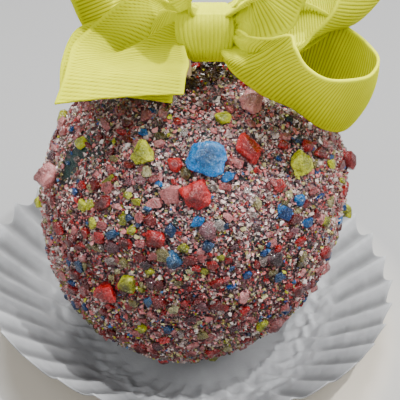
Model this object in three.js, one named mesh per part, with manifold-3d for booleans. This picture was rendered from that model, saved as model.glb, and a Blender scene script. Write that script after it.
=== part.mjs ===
// Candied apple on a stick: an apple dipped in dark candy, rolled in crushed hard candy, tied
// with a grosgrain bow and set in a pleated paper case.
// Millimetres, +Z up. The origin is the centre of the case's flat underside.

import * as THREE from 'three';
import { mergeVertices } from 'three/addons/utils/BufferGeometryUtils.js';
import Module from 'manifold-3d';

const wasm = await Module();
wasm.setup();

// ---- Driving dimensions ----------------------------------------------------------------

const GAP = 0.3;                   // air left between neighbouring pieces

const APPLE = {
  radius: 37.2,                    // widest, at the middle height
  foot: 0.9,                       // height of the flat spot it rests on
  middle: 46,                      // height of the widest ring
  top: 79.5,                       // height of the shoulders, before the dimple
  lowerPower: 2.26,                // roundness of the tapering lower half
  upperPower: 2.1,                 // roundness of the shoulders
  dimpleDepth: 6,
  dimpleRadius: 9,
  dimpleCentre: [-2.2, 8.6],       // set back from the middle, as the apple isn't quite upright
  lobes: 5,
  lobeDepth: 0.5,
  lean: 0.07,                      // sideways shift for each millimetre of height
  sides: 36,
  rings: 19,
};

const STICK = { radius: 2.2, foot: [-1.8, 8.2, 62], tip: [-5, 11.5, 119], bevel: 0.5, sides: 14 };

const CASE = {
  paper: 0.5,
  baseRadius: 25,
  rimRadius: 55.2,
  rimShift: [-1.2, 5.2],           // the crumpled rim isn't centred on the base
  rimHeight: 14.2,
  leftRise: 3.7,                   // how much higher the rim stands at the left, and at the front
  frontRise: 5,
  pleats: 36,
  pleatDepth: 1.8,
  pleatTurn: [6, 1.5, 1.4],        // degrees by which the pleats stray from even spacing
  stepsPerPleat: 3,
  wallRings: 3,
};

const RIBBON = { thickness: 0.8, rows: 2, columns: 3 };   // rows for each stretch, columns across

const KNOT = {
  centre: [3.7, -4.7, 91.4],
  halfWidth: 5.5,
  depth: 4.9,
  height: 5.9,
  band: 1.0,
  lean: 39,                        // how far its front leans back (degrees)
  leftSwell: 0.1,                  // it bulges at the left and narrows towards its top and bottom
  leftPinch: 0.4,
  rightPinch: 0.12,
};
const GATHER = { depth: 3.6, height: 4.6, overhang: 1.0 };

// The ribbon's lengths, each as stations [near selvedge, far selvedge, arch across the width].
const RIBBON_LENGTHS = {
  lowRightLoop: [
    [[5, -4, 87.5], [6, -4, 93], 0],
    [[6.5, -7, 88.5], [9, -7.5, 93], 0.5],
    [[7, -9.5, 87.5], [12, -13, 94.5], 1],
    [[7.5, -11, 87], [15.5, -17.5, 96.5], 1.5],
    [[8.5, -12, 86], [19, -21, 99], 1.5],
    [[10.5, -12, 84], [19.5, -25, 98.5], 1.5],
    [[15.5, -10, 79], [21.5, -26.5, 95.5], 1],
    [[22, -9.5, 75.5], [25.5, -27, 93], 0.5],
    [[28.5, -9.5, 70.5], [31, -23, 90.5], -0.2],
    [[34.5, -5.5, 67], [36, -17.5, 88.5], -0.5],
    [[39, -0.5, 68.5], [39, -9.5, 87.5], -1],
    [[37.5, 2.5, 67], [38.5, -1.5, 86.5], -0.5],
    [[32, 11.5, 67], [35.5, 6, 86.5], 0.5],
    [[24, 12.5, 72], [25.5, 10, 91], 0],
    [[12, 5, 82], [13, 3, 95], 0],
    [[5, -3, 88.5], [5, -3, 92], 0],
  ],
  upRightLoop: [
    [[5, -5.5, 88], [5, -4.5, 94], 0],
    [[9.5, -7, 93], [9, -8.5, 98.5], 1],
    [[14.5, -4.5, 89.5], [10.5, -16.5, 104], 2],
    [[21, -2, 90.5], [12.5, -19, 106], 3],
    [[23, -0.5, 94], [14.5, -17.5, 108], 3],
    [[25, 0.5, 98], [17.5, -13.5, 112.5], 2],
    [[27, 2.5, 97], [27, -3.5, 117], 1],
    [[32, 6, 93], [36, 11, 113], 1],
    [[33, 7.5, 89.5], [38.5, 24, 102], 1],
    [[31.5, 6, 86.5], [31.5, 24, 93], 1],
    [[27, 3, 84], [26.5, 20.5, 92.5], 1],
    [[22, -0.5, 84], [22, 15.5, 92.5], 0],
    [[10, -1, 87], [12, 3, 95], 0],
    [[5, -3, 89], [6, -3, 93.5], 0],
  ],
  backRightLoop: [
    [[6, -4, 88.5], [7, -4, 92.5], 0],
    [[16, -3.5, 86], [18, 6, 84], 0],
    [[22, -8.5, 89], [26, 10.5, 82], 0],
    [[25, -8, 92.5], [33.5, 11, 84], 0],
    [[27.5, -8, 95.5], [38, 11, 86], 1],
    [[29.5, -6.5, 99], [42, 11, 91], 1],
    [[31.5, -1, 105], [45.5, 14.5, 95.5], 1],
    [[33, 8.5, 108], [47, 24, 103], 1],
    [[32, 20, 105.5], [43, 39.5, 100.5], 1],
    [[27, 21.5, 98.5], [30.5, 42, 94.5], 1],
    [[19, 14.5, 92], [19.5, 32.5, 90.5], 0],
    [[9, -1, 88], [10, 3, 96], 0],
    [[5, -3, 89], [5, -3, 93.5], 0],
  ],
  upLeftLoop: [
    [[1, -5, 89], [3, -5, 94], 0],
    [[-2, -2.5, 94.5], [0, -9, 99], 0],
    [[-5, 0, 97], [0.5, -17, 106.5], 0.5],
    [[-6.5, 5, 102.5], [-2.5, -14, 114.5], 1],
    [[-13, 12.5, 103], [-15.5, -2.5, 118], 1],
    [[-20, 19, 100.5], [-28, 4.5, 111.5], 1],
    [[-21.5, 24, 95], [-29.5, 6, 100.5], 1],
    [[-18, 24, 89], [-26.5, 6, 93.5], 1],
    [[-15.5, 22.5, 86.5], [-25.5, 7, 89], 1],
    [[-12.5, 20.5, 84.5], [-24.5, 9.5, 84.5], 1],
    [[-10.5, 14.5, 85.5], [-21, 9.5, 81.5], 0],
    [[-5, 0, 94], [-9, -1, 86], 0],
    [[1, -4, 93.5], [1, -4, 89], 0],
  ],
  leftTail: [
    [[-27, -23, 85], [-1.5, -21, 86], 1],
    [[-25.5, -18.5, 88], [-1, -17.5, 88.5], 0.5],
    [[-25, -14, 89.5], [-0.5, -13.5, 88.5], 0],
    [[-24.5, -9, 90.5], [-1, -11, 89.5], -0.5],
    [[-22.5, -2, 90], [-1.5, -8.5, 90.5], -1],
    [[-19.5, 4, 90.5], [-2, -5.5, 91], -1],
    [[-16, 7.5, 92], [-2.5, -3, 91], -1],
    [[-12, 9, 93.5], [-2.5, -2, 91.5], -1],
    [[-7, 6, 94], [-2, -1, 91.5], -0.5],
    [[-2.5, 0, 94.5], [-1, -1.5, 91], 0],
    [[2, -4, 93.5], [2, -4, 89.5], 0],
  ],
  underTail: [
    [[-27.5, -13.5, 82.5], [-4, -17, 81.5], 0.5],
    [[-27.5, -8, 86], [-3.5, -12, 84], 0],
    [[-25.5, -0.5, 89], [-3, -7, 87], -1],
    [[-21, 5.5, 88.5], [-3, -3.5, 88], -1.5],
    [[-13.5, 6.5, 88], [-4, -2, 88.5], -1],
    [[-5, -2.5, 89.5], [-2.5, -3.5, 87.5], 0],
    [[1, -4, 90], [2, -4, 88], 0],
  ],
  stickTie: [
    [[-1, -5.5, 88.7], [-1, -5.5, 93.2], 0],
    [[-4, -3, 88.7], [-4, -3, 93.2], 0],
    [[-5.5, 2.5, 88.7], [-5.5, 2.5, 93.2], 0],
    [[-6.5, 9, 88.7], [-6.5, 9, 93.2], 0],
    [[-6, 12, 88.7], [-6, 12, 93.2], 0],
    [[-3.5, 13, 88.7], [-3.5, 13, 93.2], 0],
    [[-1, 12, 88.7], [-1, 12, 93.2], 0],
    [[-0.5, 9, 88.7], [-0.5, 9, 93.2], 0],
    [[-1.5, 3, 88.7], [-1.5, 3, 93.2], 0],
    [[-3, -1, 88.7], [-3, -1, 93.2], 0],
    [[-1, -3, 88.7], [-1, -3, 93.2], 0],
  ],
};

// The largest lumps of hard candy: azimuth from the front (degrees, right positive), how far up
// the apple's outline (0 foot, 1 dimple), and the lump's width, height and thickness.
const LARGE_LUMPS = {
  lump_blue_front: { azimuth: 3, along: 0.783, size: [8.4, 7.2, 4.8], colour: 'blue' },
  lump_red_upper: { azimuth: 24.5, along: 0.784, size: [4.8, 7.2, 4.4], colour: 'red' },
  lump_red_middle: { azimuth: -1, along: 0.712, size: [6.6, 6.2, 4.6], colour: 'red' },
  lump_lime_right: { azimuth: 47.5, along: 0.716, size: [5.8, 5.4, 4.4], colour: 'lime' },
  lump_lime_left: { azimuth: -28.5, along: 0.771, size: [5.2, 5.4, 4.4], colour: 'lime' },
  lump_pink_top: { azimuth: 44.5, along: 0.875, size: [6.4, 5, 3.6], colour: 'pink' },
  lump_pink_left: { azimuth: -70.5, along: 0.612, size: [5.2, 6.6, 5.2], colour: 'pink' },
  lump_red_low: { azimuth: -29.5, along: 0.482, size: [6.2, 5.4, 4.6], colour: 'red' },
  lump_blue_back: { azimuth: 172, along: 0.69, size: [8, 6.8, 4.6], colour: 'blue' },
  lump_red_back: { azimuth: -140, along: 0.56, size: [6.2, 5.6, 4.4], colour: 'red' },
  lump_pink_back: { azimuth: 138, along: 0.45, size: [6, 5, 4.4], colour: 'pink' },
};

// Smaller lumps fused to the candy, by hand: azimuth, how far up, width, height, and how far
// the ones that sit on other lumps stand off.
const PLACED_GRAINS = [
  [86, 0.582, 3, 4.8, 1.4], [76, 0.5, 3.2, 3.8, 0.8], [-80, 0.506, 2.8, 3.4, 0.6],
  [-100, 0.655, 3.8, 2.8, 1.4], [-71.5, 0.637, 3, 3], [57, 0.738, 3.4, 3], [62.5, 0.706, 3.6, 2.6],
  [14, 0.747, 3, 3.4], [-11.5, 0.768, 3.2, 3.2], [-37, 0.656, 3.4, 3.8], [16.5, 0.863, 3.6, 3],
  [-14, 0.62, 4.6, 4.2], [-7, 0.579, 4.2, 4.4], [-21.5, 0.506, 4, 4.2], [-10.5, 0.485, 4, 3.6],
  [40, 0.356, 4.2, 3.8], [42, 0.455, 3.6, 3.2], [37, 0.622, 3.4, 3], [43, 0.597, 3.4, 2.4],
  [29, 0.399, 3, 3.4],
];

// The rest of them by rule: largest first, spread by the golden angle.
const GRAINS = {
  count: 60,
  largest: 4.2,
  smallest: 2.2,
  lowest: 9,
  highest: 77,
  proud: 0.05,                     // how far the middle stands out, as a share of the width
  seed: 7,
};

const COLOURS = {
  candy: 0x7d4f56, blue: 0x2c8ec4, red: 0xd23c37, lime: 0xc3cf45, pink: 0xd98a92,
  ribbon: 0xe3e25a, paper: 0xb4b6ba, wood: 0xd8b98a,
};

// ---- Helpers ---------------------------------------------------------------------------

// A repeatable draw of numbers from 0 to 1.
function drawFrom(seed) {
  let state = seed >>> 0;
  return () => {
    state = (state + 0x6d2b79f5) >>> 0;
    let t = Math.imul(state ^ (state >>> 15), 1 | state);
    t = (t + Math.imul(t ^ (t >>> 7), 61 | t)) ^ t;
    return ((t ^ (t >>> 14)) >>> 0) / 4294967296;
  };
}

// Keeps only positions, shares equal corners and drops triangles that have shrunk to a line.
function welded(geometry) {
  const bare = geometry.clone();
  for (const name of Object.keys(bare.attributes)) {
    if (name !== 'position') bare.deleteAttribute(name);
  }
  const merged = mergeVertices(bare, 1e-4);
  const corners = merged.index.array;
  const kept = [];
  for (let i = 0; i < corners.length; i += 3) {
    const [a, b, c] = [corners[i], corners[i + 1], corners[i + 2]];
    if (a !== b && b !== c && c !== a) kept.push(a, b, c);
  }
  merged.setIndex(kept);
  return merged;
}

function toSolid(geometry) {
  const closed = welded(geometry);
  return new wasm.Manifold(new wasm.Mesh({
    numProp: 3,
    vertProperties: new Float32Array(closed.attributes.position.array),
    triVerts: new Uint32Array(closed.index.array),
  }));
}

function toGeometry(solid) {
  const mesh = solid.getMesh();
  const geometry = new THREE.BufferGeometry();
  geometry.setAttribute('position', new THREE.BufferAttribute(mesh.vertProperties.slice(), 3));
  geometry.setIndex(new THREE.BufferAttribute(mesh.triVerts.slice(), 1));
  return geometry;
}

// The largest body of a solid, so that loose scraps of a cut are dropped.
function largestBody(solid) {
  return solid.decompose().reduce((a, b) => (a.volume() > b.volume() ? a : b));
}

function uniteAll(solids) {
  let level = solids;
  while (level.length > 1) {
    const next = [];
    for (let i = 0; i < level.length; i += 2) {
      next.push(i + 1 < level.length ? level[i].add(level[i + 1]) : level[i]);
    }
    level = next;
  }
  return level[0];
}

function piece(name, geometry, colour, roughness) {
  const flat = geometry.index ? geometry.toNonIndexed() : geometry;
  flat.computeVertexNormals();
  const material = new THREE.MeshStandardMaterial({ color: colour, roughness, metalness: 0 });
  const mesh = new THREE.Mesh(flat, material);
  mesh.name = name;
  return mesh;
}

function movePoints(geometry, move) {
  const position = geometry.attributes.position;
  const point = new THREE.Vector3();
  for (let i = 0; i < position.count; i++) {
    move(point.fromBufferAttribute(position, i));
    position.setXYZ(i, point.x, point.y, point.z);
  }
  return geometry;
}

// ---- Apple -----------------------------------------------------------------------------

// Radius and height along the outline, from the foot (0) to the top of the axis (1).
function appleOutline(along) {
  const quarter = Math.PI / 2;
  if (along < 0.5) {
    const turn = (along / 0.5) * quarter;
    const bend = 2 / APPLE.lowerPower;
    const radius = APPLE.radius * Math.sin(turn) ** bend;
    const height = APPLE.middle - (APPLE.middle - APPLE.foot) * Math.cos(turn) ** bend;
    return new THREE.Vector2(radius, height);
  }
  const turn = ((along - 0.5) / 0.5) * quarter;
  const bend = 2 / APPLE.upperPower;
  const radius = APPLE.radius * Math.cos(turn) ** bend;
  const height = APPLE.middle + (APPLE.top - APPLE.middle) * Math.sin(turn) ** bend;
  return new THREE.Vector2(radius, height);
}

// Lobes round the shoulders and foot, the slight lean, and the dimple that the stick stands in.
function shapeApple(point) {
  const azimuth = Math.atan2(point.x, -point.y);
  const fromMiddle = (point.z - APPLE.middle) / APPLE.middle;
  const lobe = 1 + (APPLE.lobeDepth / APPLE.radius) * Math.cos(APPLE.lobes * azimuth)
    * Math.min(1, 3 * fromMiddle * fromMiddle);
  point.x = point.x * lobe + APPLE.lean * (point.z - APPLE.middle);
  point.y *= lobe;
  if (point.z < APPLE.middle) return;
  const fromDimple = Math.hypot(point.x - APPLE.dimpleCentre[0], point.y - APPLE.dimpleCentre[1]);
  point.z -= APPLE.dimpleDepth * Math.exp(-((fromDimple / APPLE.dimpleRadius) ** 2));
}

function appleCore(grow) {
  const outline = [new THREE.Vector2(0, APPLE.foot - grow)];
  for (let i = 0; i <= APPLE.rings; i++) {
    const along = THREE.MathUtils.lerp(0.07, 0.97, i / APPLE.rings);
    const at = appleOutline(along);
    const ahead = appleOutline(along + 0.001).sub(appleOutline(along - 0.001)).normalize();
    outline.push(new THREE.Vector2(at.x + ahead.y * grow, Math.max(at.y - ahead.x * grow, APPLE.foot - grow)));
  }
  outline[1].y = APPLE.foot - grow;
  outline.push(new THREE.Vector2(0, appleOutline(1).y + grow));
  const lathe = new THREE.LatheGeometry(outline, APPLE.sides).rotateX(Math.PI / 2);
  return movePoints(welded(lathe), shapeApple);
}

// Where on the outline a given height lies, below the shoulders.
function alongAtHeight(height) {
  let [low, high] = [0.05, 0.93];
  for (let i = 0; i < 30; i++) {
    const middle = (low + high) / 2;
    if (appleOutline(middle).y < height) low = middle;
    else high = middle;
  }
  return low;
}

// A point on the skin, with the outward direction there.
function onSkin(azimuthDegrees, along) {
  const azimuth = THREE.MathUtils.degToRad(azimuthDegrees);
  const at = appleOutline(along);
  const ahead = appleOutline(along + 0.002).sub(appleOutline(along - 0.002)).normalize();
  const point = new THREE.Vector3(at.x * Math.sin(azimuth), -at.x * Math.cos(azimuth), at.y);
  shapeApple(point);
  const outward = new THREE.Vector3(ahead.y * Math.sin(azimuth), -ahead.y * Math.cos(azimuth), -ahead.x);
  return { point, outward };
}

// A broken lump of hard candy: a rounded block with uneven corners.
function lumpGeometry(size, detail, draw) {
  const ball = welded(new THREE.IcosahedronGeometry(0.5, detail));
  return movePoints(ball, (point) => {
    point.multiplyScalar(0.84 + 0.32 * draw());
    point.set(point.x * size[0], point.y * size[1], point.z * size[2]);
  });
}

// Lays a lump on the skin, its thickness outward, turned about that direction.
function layOnSkin(geometry, place, spin, sunk) {
  const frame = new THREE.Matrix4();
  const outward = place.outward;
  const side = new THREE.Vector3(0, 0, 1).cross(outward).normalize();
  const rise = new THREE.Vector3().crossVectors(outward, side);
  frame.makeBasis(side, rise, outward);
  const centre = place.point.clone().addScaledVector(outward, -sunk);
  geometry.applyMatrix4(new THREE.Matrix4().makeRotationZ(spin));
  return geometry.applyMatrix4(frame).translate(centre.x, centre.y, centre.z);
}

function largeLumps() {
  const seat = toSolid(appleCore(GAP));
  const draw = drawFrom(GRAINS.seed);
  const lumps = [];
  for (const [name, lump] of Object.entries(LARGE_LUMPS)) {
    const place = onSkin(lump.azimuth, lump.along);
    const geometry = layOnSkin(lumpGeometry(lump.size, 1, draw), place, 0, -lump.size[2] * 0.22);
    lumps.push({ name, lump, place, solid: largestBody(toSolid(geometry).subtract(seat)) });
  }
  return lumps;
}

// Every small lump in order: the placed ones, then those that follow the rule.
function smallLumps() {
  const draw = drawFrom(GRAINS.seed + 1);
  const grains = PLACED_GRAINS.map(([azimuth, along, width, height, off = 0]) => {
    const place = onSkin(azimuth, along);
    place.point.addScaledVector(place.outward, off);
    return { place, size: [width, height, Math.min(width, height) * 0.9], spin: 0 };
  });
  const goldenAngle = 180 * (3 - Math.sqrt(5));
  for (let i = 0; i < GRAINS.count; i++) {
    const share = (i + 0.5) / GRAINS.count;
    const shuffled = (share * 89) % 1;
    const height = THREE.MathUtils.lerp(GRAINS.lowest, GRAINS.highest, shuffled ** 0.9);
    const azimuth = i * goldenAngle + 25 * draw();
    const width = THREE.MathUtils.lerp(GRAINS.largest, GRAINS.smallest, Math.sqrt(share));
    const size = [width * (0.8 + 0.4 * draw()), width * (0.8 + 0.4 * draw()), width * 0.85];
    grains.push({ place: onSkin(azimuth, alongAtHeight(height)), size, spin: draw() * Math.PI });
  }
  return grains;
}

// The dipped apple with its fused lumps, clear of the large lumps, bow and stick.
function candiedApple(lumps, others) {
  const taken = lumps.map(({ lump, place }) => ({ place, reach: Math.max(...lump.size) / 2 + GAP }));
  const fused = [];
  smallLumps().forEach(({ place, size, spin }, i) => {
    const reach = Math.max(...size) / 2;
    if (taken.some((other) => other.place.point.distanceTo(place.point) < other.reach + reach)) return;
    const lump = (grow) => layOnSkin(lumpGeometry(size.map((s) => s + grow), 0, drawFrom(i)),
      place, spin, -size[2] * GRAINS.proud);
    if (toSolid(lump(4 * GAP)).intersect(others).volume() > 0) return;
    taken.push({ place, reach: reach * 0.8 });
    fused.push(toSolid(lump(0)));
  });
  const bore = toSolid(stickGeometry(STICK.radius + GAP));
  return largestBody(uniteAll([toSolid(appleCore(0)), ...fused]).subtract(bore));
}

// ---- Stick -----------------------------------------------------------------------------

function stickGeometry(radius) {
  const foot = new THREE.Vector3(...STICK.foot);
  const tip = new THREE.Vector3(...STICK.tip);
  const spare = radius - STICK.radius;
  const length = foot.distanceTo(tip) + 2 * spare;
  const outline = [
    new THREE.Vector2(0, 0),
    new THREE.Vector2(radius - STICK.bevel, 0),
    new THREE.Vector2(radius, STICK.bevel),
    new THREE.Vector2(radius, length - STICK.bevel),
    new THREE.Vector2(radius - STICK.bevel, length),
    new THREE.Vector2(0, length),
  ];
  const rod = new THREE.LatheGeometry(outline, STICK.sides);
  const along = tip.clone().sub(foot).normalize();
  rod.applyQuaternion(new THREE.Quaternion().setFromUnitVectors(new THREE.Vector3(0, 1, 0), along));
  const start = foot.addScaledVector(along, -spare);
  return rod.translate(start.x, start.y, start.z);
}

// ---- Bow -------------------------------------------------------------------------------

// A closed sheet of even thickness over a grid of points.
function thickSheet(grid, thickness) {
  const rows = grid.length;
  const columns = grid[0].length;
  const faces = [[], []];
  for (let r = 0; r < rows; r++) {
    for (let c = 0; c < columns; c++) {
      const alongRow = grid[r][Math.min(c + 1, columns - 1)].clone().sub(grid[r][Math.max(c - 1, 0)]);
      const alongColumn = grid[Math.min(r + 1, rows - 1)][c].clone().sub(grid[Math.max(r - 1, 0)][c]);
      const normal = alongRow.cross(alongColumn).normalize().multiplyScalar(thickness / 2);
      faces[0].push(grid[r][c].clone().add(normal));
      faces[1].push(grid[r][c].clone().sub(normal));
    }
  }
  const back = rows * columns;
  const at = (r, c) => r * columns + c;
  const index = [];
  const quad = (a, b, c, d) => index.push(a, b, c, a, c, d);
  for (let r = 0; r < rows - 1; r++) {
    for (let c = 0; c < columns - 1; c++) {
      quad(at(r, c), at(r, c + 1), at(r + 1, c + 1), at(r + 1, c));
      quad(back + at(r, c), back + at(r + 1, c), back + at(r + 1, c + 1), back + at(r, c + 1));
    }
    quad(at(r, 0), at(r + 1, 0), back + at(r + 1, 0), back + at(r, 0));
    quad(at(r + 1, columns - 1), at(r, columns - 1), back + at(r, columns - 1), back + at(r + 1, columns - 1));
  }
  for (let c = 0; c < columns - 1; c++) {
    quad(at(0, c + 1), at(0, c), back + at(0, c), back + at(0, c + 1));
    quad(at(rows - 1, c), at(rows - 1, c + 1), back + at(rows - 1, c + 1), back + at(rows - 1, c));
  }
  const geometry = new THREE.BufferGeometry();
  geometry.setAttribute('position', new THREE.Float32BufferAttribute(
    faces.flat().flatMap((p) => [p.x, p.y, p.z]), 3));
  geometry.setIndex(index);
  return geometry;
}

// The middle surface of one length of ribbon, through its stations.
function ribbonGrid(stations) {
  const curve = (points) => new THREE.CatmullRomCurve3(points, false, 'catmullrom', 0.5);
  const near = curve(stations.map(([a]) => new THREE.Vector3(...a)));
  const far = curve(stations.map(([, b]) => new THREE.Vector3(...b)));
  const arch = curve(stations.map(([, , bow]) => new THREE.Vector3(bow, 0, 0)));
  const steps = (stations.length - 1) * RIBBON.rows;
  const grid = [];
  for (let i = 0; i <= steps; i++) {
    const t = i / steps;
    const a = near.getPoint(t);
    const b = far.getPoint(t);
    const across = b.clone().sub(a);
    const travel = near.getTangent(t).add(far.getTangent(t));
    const outward = across.clone().cross(travel).normalize().multiplyScalar(arch.getPoint(t).x);
    const row = [];
    for (let c = 0; c <= RIBBON.columns; c++) {
      const w = c / RIBBON.columns;
      row.push(a.clone().addScaledVector(across, w).addScaledVector(outward, 4 * w * (1 - w)));
    }
    grid.push(row);
  }
  return grid;
}

// An oval roll along X: the gathered middle of the bow, or the outside of the knot's band.
function roll(halfWidth, depth, height, rounding) {
  const outline = [
    new THREE.Vector2(0, -halfWidth),
    new THREE.Vector2(1 - rounding, -halfWidth),
    new THREE.Vector2(1, -halfWidth * (1 - 2 * rounding)),
    new THREE.Vector2(1.02, 0),
    new THREE.Vector2(1, halfWidth * (1 - 2 * rounding)),
    new THREE.Vector2(1 - rounding, halfWidth),
    new THREE.Vector2(0, halfWidth),
  ];
  const lathe = new THREE.LatheGeometry(outline, 20).rotateZ(-Math.PI / 2);
  const lean = THREE.MathUtils.degToRad(KNOT.lean);
  return movePoints(lathe.scale(1, height, depth).rotateX(Math.PI / 2), (point) => {
    const up = (point.y * Math.sin(lean) + point.z * Math.cos(lean)) / KNOT.height;
    const left = 1 + KNOT.leftSwell - KNOT.leftPinch * up ** 2;
    point.x *= point.x < 0 ? left : 1 - KNOT.rightPinch * up ** 2;
  }).translate(...KNOT.centre);
}

function knotBand(grow) {
  const outside = toSolid(roll(KNOT.halfWidth + grow, KNOT.depth + grow, KNOT.height + grow, 0.08));
  const hole = toSolid(roll(KNOT.halfWidth + 2, KNOT.depth - KNOT.band - grow, KNOT.height - KNOT.band - grow, 0));
  return outside.subtract(hole);
}

function bowRibbon(stick, core) {
  const lengths = Object.values(RIBBON_LENGTHS).map((stations) => (
    toSolid(thickSheet(ribbonGrid(stations), RIBBON.thickness))));
  const gather = toSolid(roll(KNOT.halfWidth + GATHER.overhang, GATHER.depth, GATHER.height, 0.15));
  const whole = uniteAll([gather, ...lengths]);
  return largestBody(whole.subtract(knotBand(GAP)).subtract(stick).subtract(core));
}

// ---- Paper case ------------------------------------------------------------------------

function paperCase() {
  const lower = [new THREE.Vector2(0, 0), new THREE.Vector2(CASE.baseRadius * 0.5, 0)];
  for (let i = 0; i <= CASE.wallRings; i++) {
    lower.push(new THREE.Vector2(THREE.MathUtils.lerp(CASE.baseRadius, CASE.rimRadius, i / CASE.wallRings), 0));
  }
  const upper = lower.map((p) => new THREE.Vector2(p.x, CASE.paper)).reverse();
  const lathe = new THREE.LatheGeometry([...lower, ...upper], CASE.pleats * CASE.stepsPerPleat);
  return movePoints(welded(lathe.rotateX(Math.PI / 2)), (point) => {
    const radius = Math.hypot(point.x, point.y);
    const up = (radius - CASE.baseRadius) / (CASE.rimRadius - CASE.baseRadius);
    const even = Math.atan2(point.x, -point.y);
    const [turn, sway, ripple] = CASE.pleatTurn.map(THREE.MathUtils.degToRad);
    const stray = turn - sway * Math.sin(even) + ripple * Math.sin(5 * even - 1.75);
    const azimuth = even + stray;
    const fold = 1 - 2 * Math.abs(Math.sin(CASE.pleats * even / 2));
    const open = up > 0 ? 1 + 0.012 * fold * up : 1;
    point.x = radius * Math.sin(azimuth) * open;
    point.y = -radius * Math.cos(azimuth) * open;
    if (up <= 0) return;
    const rise = CASE.rimHeight - CASE.leftRise * Math.sin(azimuth) + CASE.frontRise * Math.cos(azimuth);
    point.x += CASE.rimShift[0] * up;
    point.y += CASE.rimShift[1] * up;
    point.z += rise * up ** 1.5 + CASE.pleatDepth * (1 + fold) * up ** 0.7;
  });
}

// ---- Assembly --------------------------------------------------------------------------

const apple = new THREE.Group();

const stick = toSolid(stickGeometry(STICK.radius));
const stickRoom = toSolid(stickGeometry(STICK.radius + GAP));
const bow = bowRibbon(stickRoom, toSolid(appleCore(GAP)));
const knot = knotBand(0).subtract(stickRoom);
const lumps = largeLumps();

apple.add(piece('candied_apple', toGeometry(candiedApple(lumps, uniteAll([bow, knot]))), COLOURS.candy, 0.35));
for (const { name, lump, solid } of lumps) {
  apple.add(piece(name, toGeometry(solid), COLOURS[lump.colour], 0.15));
}
apple.add(piece('stick', toGeometry(stick), COLOURS.wood, 0.6));
apple.add(piece('bow_ribbon', toGeometry(bow), COLOURS.ribbon, 0.7));
apple.add(piece('bow_knot', toGeometry(knot), COLOURS.ribbon, 0.7));
apple.add(piece('paper_case', paperCase(), COLOURS.paper, 0.8));

export default apple;
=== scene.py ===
import math

import bmesh
import bpy
import numpy as np
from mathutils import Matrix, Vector


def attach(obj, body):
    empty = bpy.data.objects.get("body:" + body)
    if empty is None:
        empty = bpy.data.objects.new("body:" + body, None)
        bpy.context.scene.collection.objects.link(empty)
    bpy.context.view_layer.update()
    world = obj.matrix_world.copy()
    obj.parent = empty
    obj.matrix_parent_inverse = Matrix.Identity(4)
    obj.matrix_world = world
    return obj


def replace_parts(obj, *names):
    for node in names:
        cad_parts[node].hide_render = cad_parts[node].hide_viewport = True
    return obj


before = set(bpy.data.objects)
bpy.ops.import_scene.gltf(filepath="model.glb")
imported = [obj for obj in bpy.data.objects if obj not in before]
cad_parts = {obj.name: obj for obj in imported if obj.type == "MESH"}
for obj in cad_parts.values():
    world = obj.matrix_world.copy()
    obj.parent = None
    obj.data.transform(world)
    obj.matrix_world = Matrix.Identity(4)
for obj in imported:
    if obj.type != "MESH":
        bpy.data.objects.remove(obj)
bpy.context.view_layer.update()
MM = 0.001

# ---- Sizes, in mm: the part's own, unless a comment says they are the scene's ------------

RADIUS, FOOT, MIDDLE, TOP = 37.2, 0.9, 46.0, 79.5
LOWER_POWER, UPPER_POWER = 2.26, 2.1
DIMPLE_DEPTH, DIMPLE_RADIUS, DIMPLE_CENTRE = 6.0, 9.0, (-2.2, 8.6)
# The brown under the bow is a painted shadow of the bow on the shell and the crumbs.
BOW_SHADOW_REACH = 17.5  # the scene's: how far from the stick the crumbs are brown
LOBES, LOBE_DEPTH, LEAN = 5, 0.5, 0.07

KNOT_CENTRE, KNOT_HALF, KNOT_DEPTH, KNOT_HEIGHT = (3.7, -4.7, 91.4), 5.5, 4.9, 5.9
KNOT_LEAN, LEFT_SWELL, LEFT_PINCH, RIGHT_PINCH = math.radians(39), 0.1, 0.4, 0.12
KNOT_PITCH = 0.84  # the scene's: from rib to rib across the knot

STICK_FOOT, STICK_TIP, STICK_RADIUS = (-1.8, 8.2, 62.0), (-5.0, 11.5, 119.0), 2.2

CASE_BASE, CASE_RIM, CASE_SHIFT = 25.0, 55.2, (-1.2, 5.2)
CASE_HEIGHT, LEFT_RISE, FRONT_RISE = 14.2, 3.7, 5.0
PLEATS, PLEAT_DEPTH, PLEAT_TURN, PAPER = 36, 1.8, np.radians([6, 1.5, 1.4]), 0.5
SHEET_HALF = 0.12  # the scene's: half the thickness of the paper

RIBBON_WIDTH = 25.0
# The scene's: the ribs, and the tie, which is 4.5 wide in the part and would show there.
RIB_PITCH, RIB_HEIGHT, TIE_LEVEL, TIE_WIDTH = 0.82, 0.18, 90.0, 2.6
# The scene's: small gathers where a length narrows into the knot, and how deep they are.
GATHERS, USUAL_GATHER = 5, 1.2
GATHER_DEPTH = {"low_right_loop": 0.2, "left_tail": 0.2, "stick_tie": 0.0}

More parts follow.
